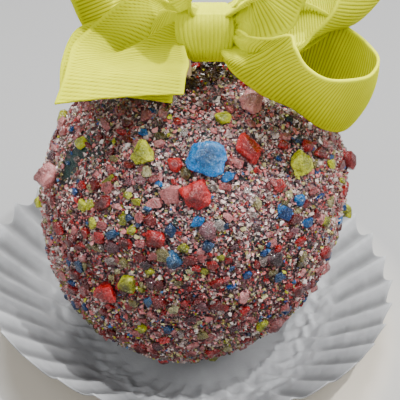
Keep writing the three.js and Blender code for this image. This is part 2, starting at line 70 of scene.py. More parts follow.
# The ribbon's lengths, station by station: a point on one edge, one on the other, and the arch.
RIBBON_LENGTHS = {
    "low_right_loop": [
        (5, -4, 87.5, 6, -4, 93, 0), (6.5, -7, 88.5, 9, -7.5, 93, 0.5),
        (7, -9.5, 87.5, 12, -13, 94.5, 1), (7.5, -11, 87, 15.5, -17.5, 96.5, 1.5),
        (8.5, -12, 86, 19, -21, 99, 1.5), (10.5, -12, 84, 19.5, -25, 98.5, 1.5),
        (15.5, -10, 79, 21.5, -26.5, 95.5, 1), (22, -9.5, 75.5, 25.5, -27, 93, 0.5),
        (28.5, -9.5, 70.5, 31, -23, 90.5, -0.2), (34.5, -5.5, 67, 36, -17.5, 88.5, -0.5),
        (39, -0.5, 68.5, 39, -9.5, 87.5, -1), (37.5, 2.5, 67, 38.5, -1.5, 86.5, -0.5),
        (32, 11.5, 67, 35.5, 6, 86.5, 0.5), (24, 12.5, 72, 25.5, 10, 91, 0),
        (12, 5, 82, 13, 3, 95, 0), (5, -3, 88.5, 5, -3, 92, 0),
    ],
    "up_right_loop": [
        (5, -5.5, 88, 5, -4.5, 94, 0), (9.5, -7, 93, 9, -8.5, 98.5, 1),
        (14.5, -4.5, 89.5, 10.5, -16.5, 104, 2), (21, -2, 90.5, 12.5, -19, 106, 3),
        (23, -0.5, 94, 14.5, -17.5, 108, 3), (25, 0.5, 98, 17.5, -13.5, 112.5, 2),
        (27, 2.5, 97, 27, -3.5, 117, 1), (32, 6, 93, 36, 11, 113, 1),
        (33, 7.5, 89.5, 38.5, 24, 102, 1), (31.5, 6, 86.5, 31.5, 24, 93, 1),
        (27, 3, 84, 26.5, 20.5, 92.5, 1), (22, -0.5, 84, 22, 15.5, 92.5, 0),
        (10, -1, 87, 12, 3, 95, 0), (5, -3, 89, 6, -3, 93.5, 0),
    ],
    "back_right_loop": [
        (6, -4, 88.5, 7, -4, 92.5, 0), (16, -3.5, 86, 18, 6, 84, 0),
        (22, -8.5, 89, 26, 10.5, 82, 0), (25, -8, 92.5, 33.5, 11, 84, 0),
        (27.5, -8, 95.5, 38, 11, 86, 1), (29.5, -6.5, 99, 42, 11, 91, 1),
        (31.5, -1, 105, 45.5, 14.5, 95.5, 1), (33, 8.5, 108, 47, 24, 103, 1),
        (32, 20, 105.5, 43, 39.5, 100.5, 1), (27, 21.5, 98.5, 30.5, 42, 94.5, 1),
        (19, 14.5, 92, 19.5, 32.5, 90.5, 0), (9, -1, 88, 10, 3, 96, 0),
        (5, -3, 89, 5, -3, 93.5, 0),
    ],
    "up_left_loop": [
        (1, -5, 89, 3, -5, 94, 0), (-2, -2.5, 94.5, 0, -9, 99, 0),
        (-5, 0, 97, 0.5, -17, 106.5, 0.5), (-6.5, 5, 102.5, -2.5, -14, 114.5, 1),
        (-13, 12.5, 103, -15.5, -2.5, 118, 1), (-20, 19, 100.5, -28, 4.5, 111.5, 1),
        (-21.5, 24, 95, -29.5, 6, 100.5, 1), (-18, 24, 89, -26.5, 6, 93.5, 1),
        (-15.5, 22.5, 86.5, -25.5, 7, 89, 1), (-12.5, 20.5, 84.5, -24.5, 9.5, 84.5, 1),
        (-10.5, 14.5, 85.5, -21, 9.5, 81.5, 0), (-5, 0, 94, -9, -1, 86, 0),
        (1, -4, 93.5, 1, -4, 89, 0),
    ],
    "left_tail": [
        (-27, -23, 85, -1.5, -21, 86, 1), (-25.5, -18.5, 88, -1, -17.5, 88.5, 0.5),
        (-25, -14, 89.5, -0.5, -13.5, 88.5, 0), (-24.5, -9, 90.5, -1, -11, 89.5, -0.5),
        (-22.5, -2, 90, -1.5, -8.5, 90.5, -1), (-19.5, 4, 90.5, -2, -5.5, 91, -1),
        (-16, 7.5, 92, -2.5, -3, 91, -1), (-12, 9, 93.5, -2.5, -2, 91.5, -1),
        (-7, 6, 94, -2, -1, 91.5, -0.5), (-2.5, 0, 94.5, -1, -1.5, 91, 0),
        (2, -4, 93.5, 2, -4, 89.5, 0),
    ],
    "under_tail": [
        (-27.5, -13.5, 82.5, -4, -17, 81.5, 0.5), (-27.5, -8, 86, -3.5, -12, 84, 0),
        (-25.5, -0.5, 89, -3, -7, 87, -1), (-21, 5.5, 88.5, -3, -3.5, 88, -1.5),
        (-13.5, 6.5, 88, -4, -2, 88.5, -1), (-5, -2.5, 89.5, -2.5, -3.5, 87.5, 0),
        (1, -4, 90, 2, -4, 88, 0),
    ],
}
# Where the narrow length runs that ties the bow to the stick, seen from above.
TIE_ROUTE = [
    (-1, -5.5), (-4, -3), (-5.5, 2.5), (-6.5, 9), (-6, 12), (-3.5, 13), (-1, 12), (-0.5, 9),
    (-1.5, 3), (-3, -1), (-1, -3),
]
RIBBON_LENGTHS["stick_tie"] = [
    (x, y, TIE_LEVEL - TIE_WIDTH / 2, x, y, TIE_LEVEL + TIE_WIDTH / 2, 0) for x, y in TIE_ROUTE
]

# The largest lumps, one for each node: azimuth, how far up, size and colour.
LARGE_LUMPS = {
    "lump_blue_front": (3, 0.783, (8.4, 7.2, 4.8), "blue"),
    "lump_red_upper": (24.5, 0.784, (4.8, 7.2, 4.4), "red"),
    "lump_red_middle": (-1, 0.712, (6.6, 6.2, 4.6), "red"),
    "lump_lime_right": (47.5, 0.716, (5.8, 5.4, 4.4), "lime"),
    "lump_lime_left": (-28.5, 0.771, (5.2, 5.4, 4.4), "lime"),
    "lump_pink_top": (44.5, 0.875, (6.4, 5.0, 3.6), "rose"),
    "lump_pink_left": (-70.5, 0.612, (5.2, 6.6, 5.2), "rose"),
    "lump_red_low": (-29.5, 0.482, (6.2, 5.4, 4.6), "red"),
    "lump_blue_back": (172, 0.69, (8.0, 6.8, 4.6), "blue"),
    "lump_red_back": (-140, 0.56, (6.2, 5.6, 4.4), "red"),
    "lump_pink_back": (138, 0.45, (6.0, 5.0, 4.4), "rose"),
}

# Small lumps laid one by one: azimuth, how far up, width, height, how far off, and colour.
PLACED_GRAINS = [
    (86, 0.582, 3, 4.8, 1.4, "red"), (76, 0.5, 3.2, 3.8, 0.8, "lime"),
    (-80, 0.506, 2.8, 3.4, 0.6, "lime"), (-100, 0.655, 3.8, 2.8, 1.4, "lime"),
    (-71.5, 0.637, 3, 3, 0, "red"), (57, 0.738, 3.4, 3, 0, "red"),
    (62.5, 0.706, 3.6, 2.6, 0, "red"), (14, 0.747, 3, 3.4, 0, "blue"),
    (-11.5, 0.768, 3.2, 3.2, 0, "red"), (-37, 0.656, 3.4, 3.8, 0, "red"),
    (16.5, 0.863, 3.6, 3, 0, "lime"), (-14, 0.62, 4.6, 4.2, 0, "red"),
    (-7, 0.579, 4.2, 4.4, 0, "navy"), (-21.5, 0.506, 4, 4.2, 0, "lime"),
    (-10.5, 0.485, 4, 3.6, 0, "red"), (40, 0.356, 4.2, 3.8, 0, "rose"),
    (42, 0.455, 3.6, 3.2, 0, "red"), (37, 0.622, 3.4, 3, 0, "red"),
    (43, 0.597, 3.4, 2.4, 0, "blue"), (29, 0.399, 3, 3.4, 0, "lime"),
]

# The small lumps laid by rule. The part draws them from its own seed, 7, plus 1.
GRAINS, LARGEST, SMALLEST, LOWEST, HIGHEST, GRAIN_SEED = 60, 4.2, 2.2, 9.0, 77.0, 8

# Middle-sized chips laid on one by one: azimuth, how far up, width and height.
LAID_CHIPS = {
    "red": [
        (-57, 0.761, 2, 2.2), (-49, 0.814, 2.9, 2), (-41, 0.788, 2.9, 1.7),
        (-48, 0.795, 2.6, 1.5), (-59, 0.734, 2.7, 0.9), (-33, 0.744, 2.9, 1.9),
        (-44, 0.68, 3.6, 2.6), (-17, 0.656, 3.2, 2.5), (-41, 0.582, 2.7, 2.3),
        (-55, 0.546, 4.8, 3.1), (1, 0.735, 1.6, 2.3), (44, 0.638, 2.7, 1.8), (48, 0.604, 2, 2.2),
        (72, 0.637, 3.4, 2.4), (70, 0.579, 2.2, 2.5), (34, 0.593, 2, 1.7), (26, 0.744, 1.4, 1.3),
        (-2, 0.583, 3.5, 2.3), (6, 0.571, 2.5, 2.2), (8, 0.528, 3, 2.5), (29, 0.572, 1.9, 2),
        (51, 0.434, 2.7, 2.8), (19, 0.462, 2.3, 2.1), (2, 0.491, 2.6, 1.9), (-26, 0.429, 2, 2.7),
        (-8, 0.397, 2.8, 2.7), (10, 0.344, 2.4, 2.4), (25, 0.356, 2.3, 2.8),
        (-42, 0.547, 2.5, 2.4), (84, 0.6, 5.6, 5.2),
    ],
    "rose": [
        (-23, 0.803, 2.2, 2), (-60, 0.787, 5.8, 1.7), (-80, 0.654, 3.5, 2.2),
        (-11, 0.71, 4.2, 4.1), (-31, 0.661, 2.6, 1.5), (-35, 0.614, 3.3, 1.9),
        (15, 0.774, 2.6, 2.1), (50, 0.586, 2.4, 2.3), (49, 0.653, 2.9, 1.8),
        (49, 0.779, 2.9, 1.9), (66, 0.419, 4.2, 2.8), (38, 0.423, 2.7, 3), (-14, 0.584, 2.4, 2.1),
        (6, 0.769, 1.7, 1.3), (-99, 0.656, 3.5, 2.8), (-41, 0.456, 2.8, 2.7),
        (11, 0.53, 1.9, 1.9), (-25, 0.367, 2.5, 2.8), (-91, 0.684, 3.4, 3.4),
        (37, 0.382, 3.2, 3.1), (18, 0.765, 2.3, 2.2),
    ],
    "blue": [
        (-35, 0.812, 2.7, 1.5), (-78, 0.716, 2.3, 1.2), (-95, 0.636, 2.4, 1.8),
        (-17, 0.726, 1.9, 1.4), (-52, 0.643, 2.1, 1.6), (32, 0.655, 2.4, 2), (52, 0.631, 3, 1.2),
        (68, 0.673, 1.9, 1.2), (55, 0.681, 1.6, 1.1), (-48, 0.491, 1.8, 2.5),
        (-48, 0.45, 2.4, 2.4), (-51, 0.378, 2.5, 3.1), (-43, 0.405, 1.7, 3.1),
        (18, 0.535, 1.8, 2.2), (24, 0.576, 1.8, 1.7), (26, 0.59, 1.4, 1.2), (13, 0.512, 2.2, 2),
        (12, 0.744, 2.6, 2.5),
    ],
    "plum": [
        (-77, 0.642, 3.5, 2.7), (-25, 0.725, 2.7, 2.1), (-30, 0.714, 1.9, 1.7),
        (-11, 0.374, 2.8, 3.1), (-14, 0.524, 3.1, 2.8), (-16, 0.562, 2.6, 2),
        (13, 0.605, 2.1, 1.6),
    ],
    "straw": [
        (-42, 0.742, 2.4, 1.5), (-6, 0.755, 2.5, 2.7), (-45, 0.669, 2.2, 1.8),
        (23, 0.682, 1.8, 2.7), (37, 0.674, 1.8, 1.9), (34, 0.662, 3.2, 1.5),
        (39, 0.633, 2.8, 1.4), (56, 0.698, 2.3, 1.4), (76, 0.517, 2.7, 1.8),
        (-36, 0.56, 3.8, 1.6), (-24, 0.554, 2.1, 2.3), (-26, 0.528, 1.4, 1.9),
        (-5, 0.479, 1.7, 2),
    ],
    "lime": [
        (-28, 0.69, 2.3, 1.9), (-24, 0.682, 2.3, 1.7), (-23, 0.627, 1.8, 2.7),
        (-4, 0.608, 2.5, 2), (-17, 0.5, 1.6, 2.4), (-45, 0.345, 2.1, 2.5), (15, 0.377, 1.2, 1.9),
        (-101, 0.66, 4.4, 4), (75, 0.503, 3.2, 3.4),
    ],
    "navy": [
        (-19, 0.676, 2, 1.5), (-25, 0.648, 1.8, 1.5), (-21, 0.641, 1.3, 1.3),
        (-30, 0.606, 2.8, 2.5), (-9, 0.641, 2.5, 2.6), (10, 0.648, 1.7, 1.5),
        (4, 0.612, 2.5, 2.4),
    ],
}
CHIPS = [(*chip, colour) for colour, laid in LAID_CHIPS.items() for chip in laid]

# The scene's: how deep the shell lies under the skin, how low the shell and the crumbs may
# reach, and how many places are tried for each kind of piece.
SHELL_DEPTH, SHELL_FLOOR, CRUMB_FLOOR = 0.42, 0.72, 0.7
CRUMB_TRIES, CHIP_TRIES, FLAKE_TRIES = 60000, 2000, 2600
GOLDEN_ANGLE = np.pi * (3 - math.sqrt(5))


# ---- Mesh helpers ------------------------------------------------------------------------


def placed(mesh, material, slot):
    """The mesh as an object in the scene. One with a slot is a piece of the part."""
    mesh.materials.append(material)
    obj = bpy.data.objects.new(mesh.name, mesh)
    bpy.context.scene.collection.objects.link(obj)
    if slot:
        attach(obj, "root")
    return obj


def make_object(name, points, faces, material, smooth=False, slot=None, **values):
    """A mesh object from arrays of points, in millimetres, and triangles or quads.

    Each of the values is a number for every point, which the material reads by its name."""
    mesh = bpy.data.meshes.new(name)
    mesh.vertices.add(len(points))
    mesh.vertices.foreach_set("co", (np.asarray(points) * MM).astype(np.float32).ravel())
    mesh.loops.add(faces.size)
    mesh.loops.foreach_set("vertex_index", faces.astype(np.int32).ravel())
    mesh.polygons.add(len(faces))
    starts = np.arange(0, faces.size, faces.shape[1], dtype=np.int32)
    mesh.polygons.foreach_set("loop_start", starts)
    mesh.polygons.foreach_set("use_smooth", np.full(len(faces), smooth))
    mesh.update(calc_edges=True)
    for label, numbers in values.items():
        attribute = mesh.attributes.new(label, "FLOAT", "POINT")
        attribute.data.foreach_set("value", numbers.astype(np.float32))
    return placed(mesh, material, slot)


def point_grid(rows, columns, wrap_rows=False, wrap_columns=False):
    """The number of each point of a grid, row by row. A wrap repeats the first at the end."""
    at = np.arange(rows * columns).reshape(rows, columns)
    at = np.vstack([at, at[:1]]) if wrap_rows else at
    return np.hstack([at, at[:, :1]]) if wrap_columns else at


def quads(at):
    """The quads over a grid of point numbers."""
    return np.stack([at[:-1, :-1], at[:-1, 1:], at[1:, 1:], at[1:, :-1]], -1).reshape(-1, 4)


def shell(name, front, back, material, slot, wrap_rows=False, wrap_columns=False, **values):
    """A closed sheet between a front and a back grid of points.

    Each of the values is a number for every point of the grid."""
    rows, columns = front.shape[:2]
    count = rows * columns
    at = point_grid(rows, columns, wrap_rows, wrap_columns)
    borders = [] if wrap_rows else [at[0, ::-1], at[-1]]
    borders += [] if wrap_columns else [at[:, 0], at[::-1, -1]]
    faces = [quads(at), quads(at)[:, ::-1] + count]
    faces += [quads(np.stack([line, line + count])) for line in borders]
    points = np.concatenate([front.reshape(-1, 3), back.reshape(-1, 3)])
    for label, grid in values.items():
        values[label] = np.tile(np.broadcast_to(grid, (rows, columns)).ravel(), 2)
    return make_object(name, points, np.vstack(faces), material, True, slot, **values)


def smoothstep(low, high, value):
    t = np.clip((value - low) / (high - low), 0, 1)
    return t * t * (3 - 2 * t)


def unit(vectors):
    return vectors / np.maximum(np.linalg.norm(vectors, axis=-1, keepdims=True), 1e-12)


def waves(points, seed, scale, count=14):
    """Smooth uneven values of about -1 to 1 over space: a sum of seeded sine waves."""
    rng = np.random.default_rng(seed)
    total = np.zeros(len(points))
    for _ in range(count):
        direction = unit(rng.normal(size=3))
        length = scale * rng.uniform(0.6, 1.6)
        total += np.sin(points @ direction * 2 * np.pi / length + rng.uniform(0, 6.28))
    return total / math.sqrt(count / 2) * 0.6


def draw_from(seed):
    """The part's repeatable draw of numbers from 0 to 1."""
    mask = 0xFFFFFFFF
    state = [seed & mask]

    def draw():
        state[0] = (state[0] + 0x6D2B79F5) & mask
        t = ((state[0] ^ (state[0] >> 15)) * (1 | state[0])) & mask
        t = ((t + (((t ^ (t >> 7)) * (61 | t)) & mask)) & mask) ^ t
        return ((t ^ (t >> 14)) & mask) / 4294967296

    return draw


# ---- Materials ---------------------------------------------------------------------------


class Nodes:
    """Short hand for building a material's nodes."""

    def __init__(self, name):
        self.material = bpy.data.materials.new(name)
        self.material.use_nodes = True
        self.tree = self.material.node_tree
        self.shader = self.tree.nodes["Principled BSDF"]

    def add(self, kind, **settings):
        """A node with its properties and sockets set. In a socket's name, _ is a space."""
        node = self.tree.nodes.new(kind)
        for key, value in settings.items():
            if hasattr(node, key):
                setattr(node, key, value)
            else:
                node.inputs[key.replace("_", " ")].default_value = value
        return node

    def link(self, output, target):
        self.tree.links.new(output, target)

    def set(self, **values):
        for key, value in values.items():
            self.shader.inputs[key.replace("_", " ")].default_value = value

    def place(self):
        return self.add("ShaderNodeTexCoord").outputs["Object"]

    def island(self):
        return self.add("ShaderNodeNewGeometry").outputs["Random Per Island"]

    def attribute(self, name):
        return self.add("ShaderNodeAttribute", attribute_name=name).outputs["Fac"]

    def noise(self, scale, detail=3.0, roughness=0.5, place=None):
        noise = self.add("ShaderNodeTexNoise", Scale=scale, Detail=detail, Roughness=roughness)
        self.link(self.place() if place is None else place, noise.inputs["Vector"])
        return noise.outputs["Fac"]

    def mix(self, share, first, second, how="MIX"):
        """A mix of two colours, which are sockets 6, 7 and, mixed, 2 of the node."""
        mix = self.add("ShaderNodeMix", data_type="RGBA", blend_type=how)
        if isinstance(share, float):
            mix.inputs[0].default_value = share
        else:
            self.link(share, mix.inputs[0])
        self.link(first, mix.inputs[6])
        self.link(second, mix.inputs[7])
        return mix.outputs[2]

    def ramp(self, value, stops, constant=False):
        """A colour ramp. A stop with one number in place of a colour is grey."""
        ramp = self.add("ShaderNodeValToRGB")
        if constant:
            ramp.color_ramp.interpolation = "CONSTANT"
        elements = ramp.color_ramp.elements
        while len(elements) < len(stops):
            elements.new(0.5)
        for element, (position, colour) in zip(elements, stops):
            element.position = position
            element.color = (*((colour,) * 3 if isinstance(colour, float) else colour), 1)
        self.link(value, ramp.inputs["Fac"])
        return ramp.outputs["Color"]

    def colour(self, output):
        self.link(output, self.shader.inputs["Base Color"])

    def bump(self, height, strength, distance):
        bump = self.add("ShaderNodeBump", Strength=strength, Distance=distance)
        self.link(height, bump.inputs["Height"])
        self.link(bump.outputs["Normal"], self.shader.inputs["Normal"])


def candy_shell_material():
    """Dark candy, dusted with sugar crumbs finer than those laid on as pieces."""
    n = Nodes("dark_candy_shell")
    cells = n.add("ShaderNodeTexVoronoi", Scale=2100)
    n.link(n.place(), cells.inputs["Vector"])
    channel = n.add("ShaderNodeSeparateColor")
    n.link(cells.outputs["Color"], channel.inputs["Color"])
    dust = n.ramp(channel.outputs["Red"], DUST, constant=True)
    dusted = n.add("ShaderNodeMath", operation="GREATER_THAN")
    n.link(n.attribute("cover"), dusted.inputs[0])
    n.link(channel.outputs["Green"], dusted.inputs[1])
    # Under the bow the dark candy turns brown: a painted shadow of the bow.
    dark, brown = n.ramp(n.noise(160, 4), DARK_CANDY), n.ramp(n.noise(400, 3), BOW_SHADOW_CANDY)
    candy = n.mix(n.attribute("bow_shadow"), dark, brown)
    n.colour(n.mix(dusted.outputs["Value"], candy, dust))
    n.bump(cells.outputs["Distance"], 0.9, 0.0004)
    n.set(Roughness=0.32, IOR=1.5)
    return n.material


def candy_material(name, dark, middle, light, transmission):
    """Fine broken hard candy: each piece has its own tint."""
    n = Nodes(name)
    n.colour(n.ramp(n.island(), [(0.0, dark), (0.5, middle), (1.0, light)]))
    n.bump(n.noise(2600, 2), 0.35, 0.0002)
    n.set(Roughness=0.04, Transmission_Weight=transmission, IOR=1.5)
    return n.material


def lump_material(name, dark, middle, light, transmission, middle_shade):
    """A larger lump: painted shade darkens and specks its middle, and a painted highlight
    makes it clear and bright round its rim and in glints.
    """
    n = Nodes(name)
    tint = n.ramp(n.island(), [(0.0, dark), (0.5, middle), (1.0, light)])
    rim, speck = n.attribute("rim"), n.noise(2600, 3, 0.7)
    # Painted shade in the middle and the low pits; painted highlights on the rim and high specks.
    depth = n.ramp(rim, [(0.3, middle_shade), (0.95, 1.0)])
    edge = n.ramp(rim, [(0.84, 0.0), (1.0, 0.6)])
    pit_shade = n.ramp(speck, [(0.37, 0.45), (0.5, 1.0)])
    glint = n.ramp(speck, [(0.58, 0.0), (0.66, 0.45)])
    bright = n.ramp(speck, [(0.55, light), (0.66, tuple(0.6 * v + 0.4 for v in light))])
    shaded = n.mix(1.0, n.mix(1.0, tint, depth, "MULTIPLY"), pit_shade, "MULTIPLY")
    n.colour(n.mix(glint, n.mix(edge, shaded, bright), bright))
    n.bump(speck, 0.6, 0.0004)
    n.set(Roughness=0.09, Transmission_Weight=transmission, IOR=1.5)
    n.set(Subsurface_Weight=0.1, Subsurface_Scale=0.0015)
    n.set(Subsurface_Radius=tuple(max(0.05, v) for v in light))
    return n.material


def ribbon_material():
    """Lemon-yellow dye, with painted shade between the ribs."""
    n = Nodes("lemon_grosgrain")
    dye = n.ramp(n.noise(260, 3), [(0.3, (0.55, 0.585, 0.001)), (0.7, (0.60, 0.638, 0.002))])
    # Painted shade in the grooves between the ribs.
    shade = n.ramp(n.attribute("rib"), [(0.2, (0.42, 0.39, 0.22)), (0.85, 1.0)])
    n.colour(n.mix(1.0, dye, shade, "MULTIPLY"))
    n.bump(n.noise(3500, 2), 0.3, 0.0001)
    n.set(Roughness=0.7, Specular_IOR_Level=0.02, Subsurface_Weight=0.5)
    n.set(Subsurface_Scale=0.003, Subsurface_Radius=(1.0, 1.0, 0.05))
    return n.material


def paper_material():
    """Grey-white paper, with painted shade in the valleys of its pleats."""
    n = Nodes("baking_paper")
    sheet = n.ramp(n.noise(90, 5, 0.6), [(0.3, (0.295, 0.30, 0.31)), (0.7, (0.375, 0.38, 0.39))])
    # Painted shade in the pleat valleys.
    pleat_shade = n.ramp(n.attribute("fold"), [(0.0, 0.40), (0.3, 0.75), (0.85, 1.0)])
    n.colour(n.mix(1.0, sheet, pleat_shade, "MULTIPLY"))
    n.bump(n.noise(700, 6, 0.65), 0.5, 0.0003)
    n.set(Roughness=0.75, Specular_IOR_Level=0.3)
    return n.material


def wood_material():
    """Plain wood, its grain drawn out along the stick."""
    n = Nodes("plain_wood")
    mapping = n.add("ShaderNodeMapping", Scale=(1, 1, 0.06))
    n.link(n.place(), mapping.inputs["Vector"])
    grain = n.noise(1400, 4, place=mapping.outputs["Vector"])
    n.colour(n.ramp(grain, [(0.35, (0.50, 0.33, 0.17)), (0.6, (0.68, 0.50, 0.30))]))
    n.bump(grain, 0.4, 0.0002)
    n.set(Roughness=0.6)
    return n.material


# Colours of the dust and the candy on the shell, from 0 to 1 of a noise.
DUST = [
    (0.0, (0.006, 0.008, 0.010)), (0.26, (0.03, 0.010, 0.018)), (0.44, (0.07, 0.025, 0.03)),
    (0.60, (0.18, 0.07, 0.08)), (0.74, (0.34, 0.18, 0.18)), (0.84, (0.28, 0.20, 0.10)),
    (0.90, (0.70, 0.58, 0.56)), (0.96, (0.36, 0.02, 0.02)),
]
DARK_CANDY = [
    (0.3, (0.004, 0.010, 0.010)), (0.6, (0.012, 0.045, 0.038)), (0.8, (0.03, 0.085, 0.07)),
]
# The brown candy is a painted shadow of the bow, on the shell under it.
BOW_SHADOW_CANDY = [(0.35, (0.010, 0.005, 0.002)), (0.65, (0.04, 0.020, 0.007))]
SHELL = candy_shell_material()
# The dark, middle and light tint of each colour of broken candy.
TINTS = {
    "blue": ((0.0, 0.05, 0.22), (0.0, 0.09, 0.34), (0.0, 0.27, 0.75)),
    "navy": ((0.004, 0.03, 0.10), (0.008, 0.07, 0.20), (0.05, 0.20, 0.42)),
    "red": ((0.14, 0.001, 0.001), (0.30, 0.002, 0.003), (0.66, 0.010, 0.010)),
    "rose": ((0.30, 0.05, 0.05), (0.58, 0.14, 0.14), (0.92, 0.36, 0.35)),
    "lime": ((0.24, 0.24, 0.003), (0.46, 0.48, 0.006), (0.84, 0.88, 0.03)),
    "clear": ((0.20, 0.13, 0.12), (0.74, 0.56, 0.51), (0.99, 0.90, 0.85)),
    "straw": ((0.14, 0.10, 0.03), (0.46, 0.38, 0.12), (0.86, 0.80, 0.42)),
    "plum": ((0.04, 0.008, 0.014), (0.15, 0.04, 0.055), (0.40, 0.15, 0.18)),
    # Shadow brown is no candy of its own: crumbs painted brown as the bow's shadow.
    "shadow_brown": ((0.014, 0.006, 0.002), (0.05, 0.024, 0.009), (0.17, 0.095, 0.042)),
}
# How clear the fine and the larger pieces are, and how bright a larger one's middle stays
# under painted shade.
USUAL_CLEARNESS = (0.35, 0.5, 0.38)
CLEARNESS = {
    "blue": (0.35, 0.5, 0.35), "clear": (0.45, 0.75, 0.3),
    "straw": (0.5, 0.6, 0.3), "plum": (0.5, 0.6, 0.4),
}
SOFT_PINK = np.array([0.34, 0.22, 0.21])


def fine_tints(name):
    """The tints of the finest pieces, which look paler and greyer than a lump of the same candy."""
    share = 0.0 if name in ("clear", "straw", "plum", "shadow_brown") else 0.08
    return [tuple(np.array(tint) * (1 - share) + SOFT_PINK * level * share)
            for tint, level in zip(TINTS[name], (0.4, 1.0, 1.8))]


CANDY, LUMP = {}, {}
for name, tints in TINTS.items():
    fine, large, middle_shade = CLEARNESS.get(name, USUAL_CLEARNESS)
    CANDY[name] = candy_material(name + "_crumbs", *fine_tints(name), fine)
    LUMP[name] = lump_material(name + "_candy", *tints, large, middle_shade)
RIBBON = ribbon_material()
PAPER_MATERIAL = paper_material()
WOOD = wood_material()
SLOTS = {
    "blue": "blue_candy", "navy": "blue_candy", "red": "red_candy", "rose": "pink_candy",
    "lime": "lime_candy", "clear": "candy", "straw": "candy", "plum": "candy", "shadow_brown": "candy",
}


# ---- Apple -------------------------------------------------------------------------------


def outline(along):
    """Radius and height along the apple's outline, from the foot (0) to the top of the axis (1)."""
    along = np.asarray(along, float)
    low = along < 0.5
    turn = np.where(low, along, along - 0.5) / 0.5 * np.pi / 2
    rise, fall = np.sin(turn), np.maximum(np.cos(turn), 0)
    lower, upper = 2 / LOWER_POWER, 2 / UPPER_POWER
    radius = np.where(low, RADIUS * rise**lower, RADIUS * fall**upper)
    below, above = (MIDDLE - FOOT) * fall**lower, (TOP - MIDDLE) * rise**upper
    height = np.where(low, MIDDLE - below, MIDDLE + above)
    return radius, height


def from_dimple(points):
    """How far the points lie from the middle of the dimple, seen from above."""
    return np.hypot(points[..., 0] - DIMPLE_CENTRE[0], points[..., 1] - DIMPLE_CENTRE[1])


def skin(azimuth, along, lift=0.0):
    """Points on the skin and the outward direction there. Azimuth in degrees from the front."""
    azimuth = np.radians(np.asarray(azimuth, float))
    along = np.asarray(along, float)
    radius, height = outline(along)
    r2, z2 = outline(along + 0.002)
    r1, z1 = outline(along - 0.002)
    length = np.hypot(r2 - r1, z2 - z1)
    ahead_r, ahead_z = (r2 - r1) / length, (z2 - z1) / length
    outward = np.stack([ahead_z * np.sin(azimuth), -ahead_z * np.cos(azimuth), -ahead_r], -1)
    from_middle = (height - MIDDLE) / MIDDLE
    lobe = 1 + LOBE_DEPTH / RADIUS * np.cos(LOBES * azimuth) * np.minimum(1, 3 * from_middle**2)
    x = radius * np.sin(azimuth) * lobe + LEAN * (height - MIDDLE)
    points = np.stack([x, -radius * np.cos(azimuth) * lobe, height], -1)
    dimple = DIMPLE_DEPTH * np.exp(-((from_dimple(points) / DIMPLE_RADIUS) ** 2))
    points[..., 2] -= np.where(points[..., 2] > MIDDLE, dimple, 0)
    return points + outward * np.asarray(lift)[..., None], outward


ALONGS = np.linspace(0.02, 0.93, 2000)
HEIGHTS = outline(ALONGS)[1]


def along_at_height(height):
    """How far along the outline the skin reaches a height."""
    return np.interp(height, HEIGHTS, ALONGS)


def cover_at(points, azimuth):
    """How densely crumbs cover the skin, from 0 to 1: less low down and in the bare patches."""
    height = points[:, 2]
    cover = 1.0 - 0.42 * smoothstep(24, 7, height) + 0.12 * waves(points, 41, 20)
    cover -= 1.3 * np.exp(-(((azimuth + 63) / 5.5) ** 2 + ((height - 64.5) / 6) ** 2) ** 1.5)
    cover -= 0.5 * np.exp(-(((azimuth + 52) / 7) ** 2 + ((height - 69) / 4) ** 2))
    cover -= 0.25 * np.exp(-(((azimuth - 28) / 26) ** 2 + ((height - 49) / 8) ** 2))
    return np.clip(cover, 0, 1)


def under_bow(places):
    """How deep a place lies in the bow's painted shadow, brown on shell and crumbs, from 0 to 1."""
    from_stick = from_dimple(places)
    return smoothstep(BOW_SHADOW_REACH, 0.75 * BOW_SHADOW_REACH, from_stick) * smoothstep(55, 60, places[:, 2])


def candy_core():
    """The dark shell under the crumbs, slightly wavy from the dipping."""
    rows, columns = 90, 130
    along = np.clip(np.linspace(0.0, 1.0, rows), 0.003, 0.997)
    azimuth = np.linspace(-180, 180, columns, endpoint=False)
    az, al = np.meshgrid(azimuth, along)
    points, outward = skin(az.ravel(), al.ravel())
    lift = -SHELL_DEPTH + 0.16 * waves(points, 5, 14) + 0.10 * waves(points, 6, 5)
    points = points + outward * lift[:, None]
    points[:, 2] = np.maximum(points[:, 2], SHELL_FLOOR)
    # Painted shadow of the bow: the shell turns brown and loses its dust under it.
    bow_shadow = under_bow(points)
    cover = cover_at(points, az.ravel()) * (1 - bow_shadow)
    at = point_grid(rows, columns, wrap_columns=True)
    faces = quads(at)
    foot, top = np.full(columns, len(points)), np.full(columns, len(points) + 1)
    low = np.stack([foot, at[0, 1:], at[0, :-1]], -1)
    high = np.stack([top, at[-1, :-1], at[-1, 1:]], -1)
    triangles = np.vstack([faces[:, [0, 1, 2]], faces[:, [0, 2, 3]], low, high])
    points = np.vstack([points, points[:columns].mean(0), points[-columns:].mean(0)])
    looks = {"cover": np.append(cover, [0.5, 0.5]), "bow_shadow": np.append(bow_shadow, [0.0, 1.0])}
    return make_object("candy_shell", points, triangles, SHELL, True, "candy", **looks)


def spiral(count):
    """Directions spread evenly over a ball, along a spiral."""
    i = np.arange(count)
    z = 1 - (2 * i + 1) / count
    ring = np.sqrt(1 - z * z)
    return np.stack([ring * np.cos(i * GOLDEN_ANGLE), ring * np.sin(i * GOLDEN_ANGLE), z], -1)


def emptied(bm):
    """The points and triangles of a bmesh, which is then freed."""
    bm.verts.index_update()
    points = np.array([v.co for v in bm.verts])
    faces = np.array([[v.index for v in f.verts] for f in bm.faces])
    bm.free()
    return points, faces


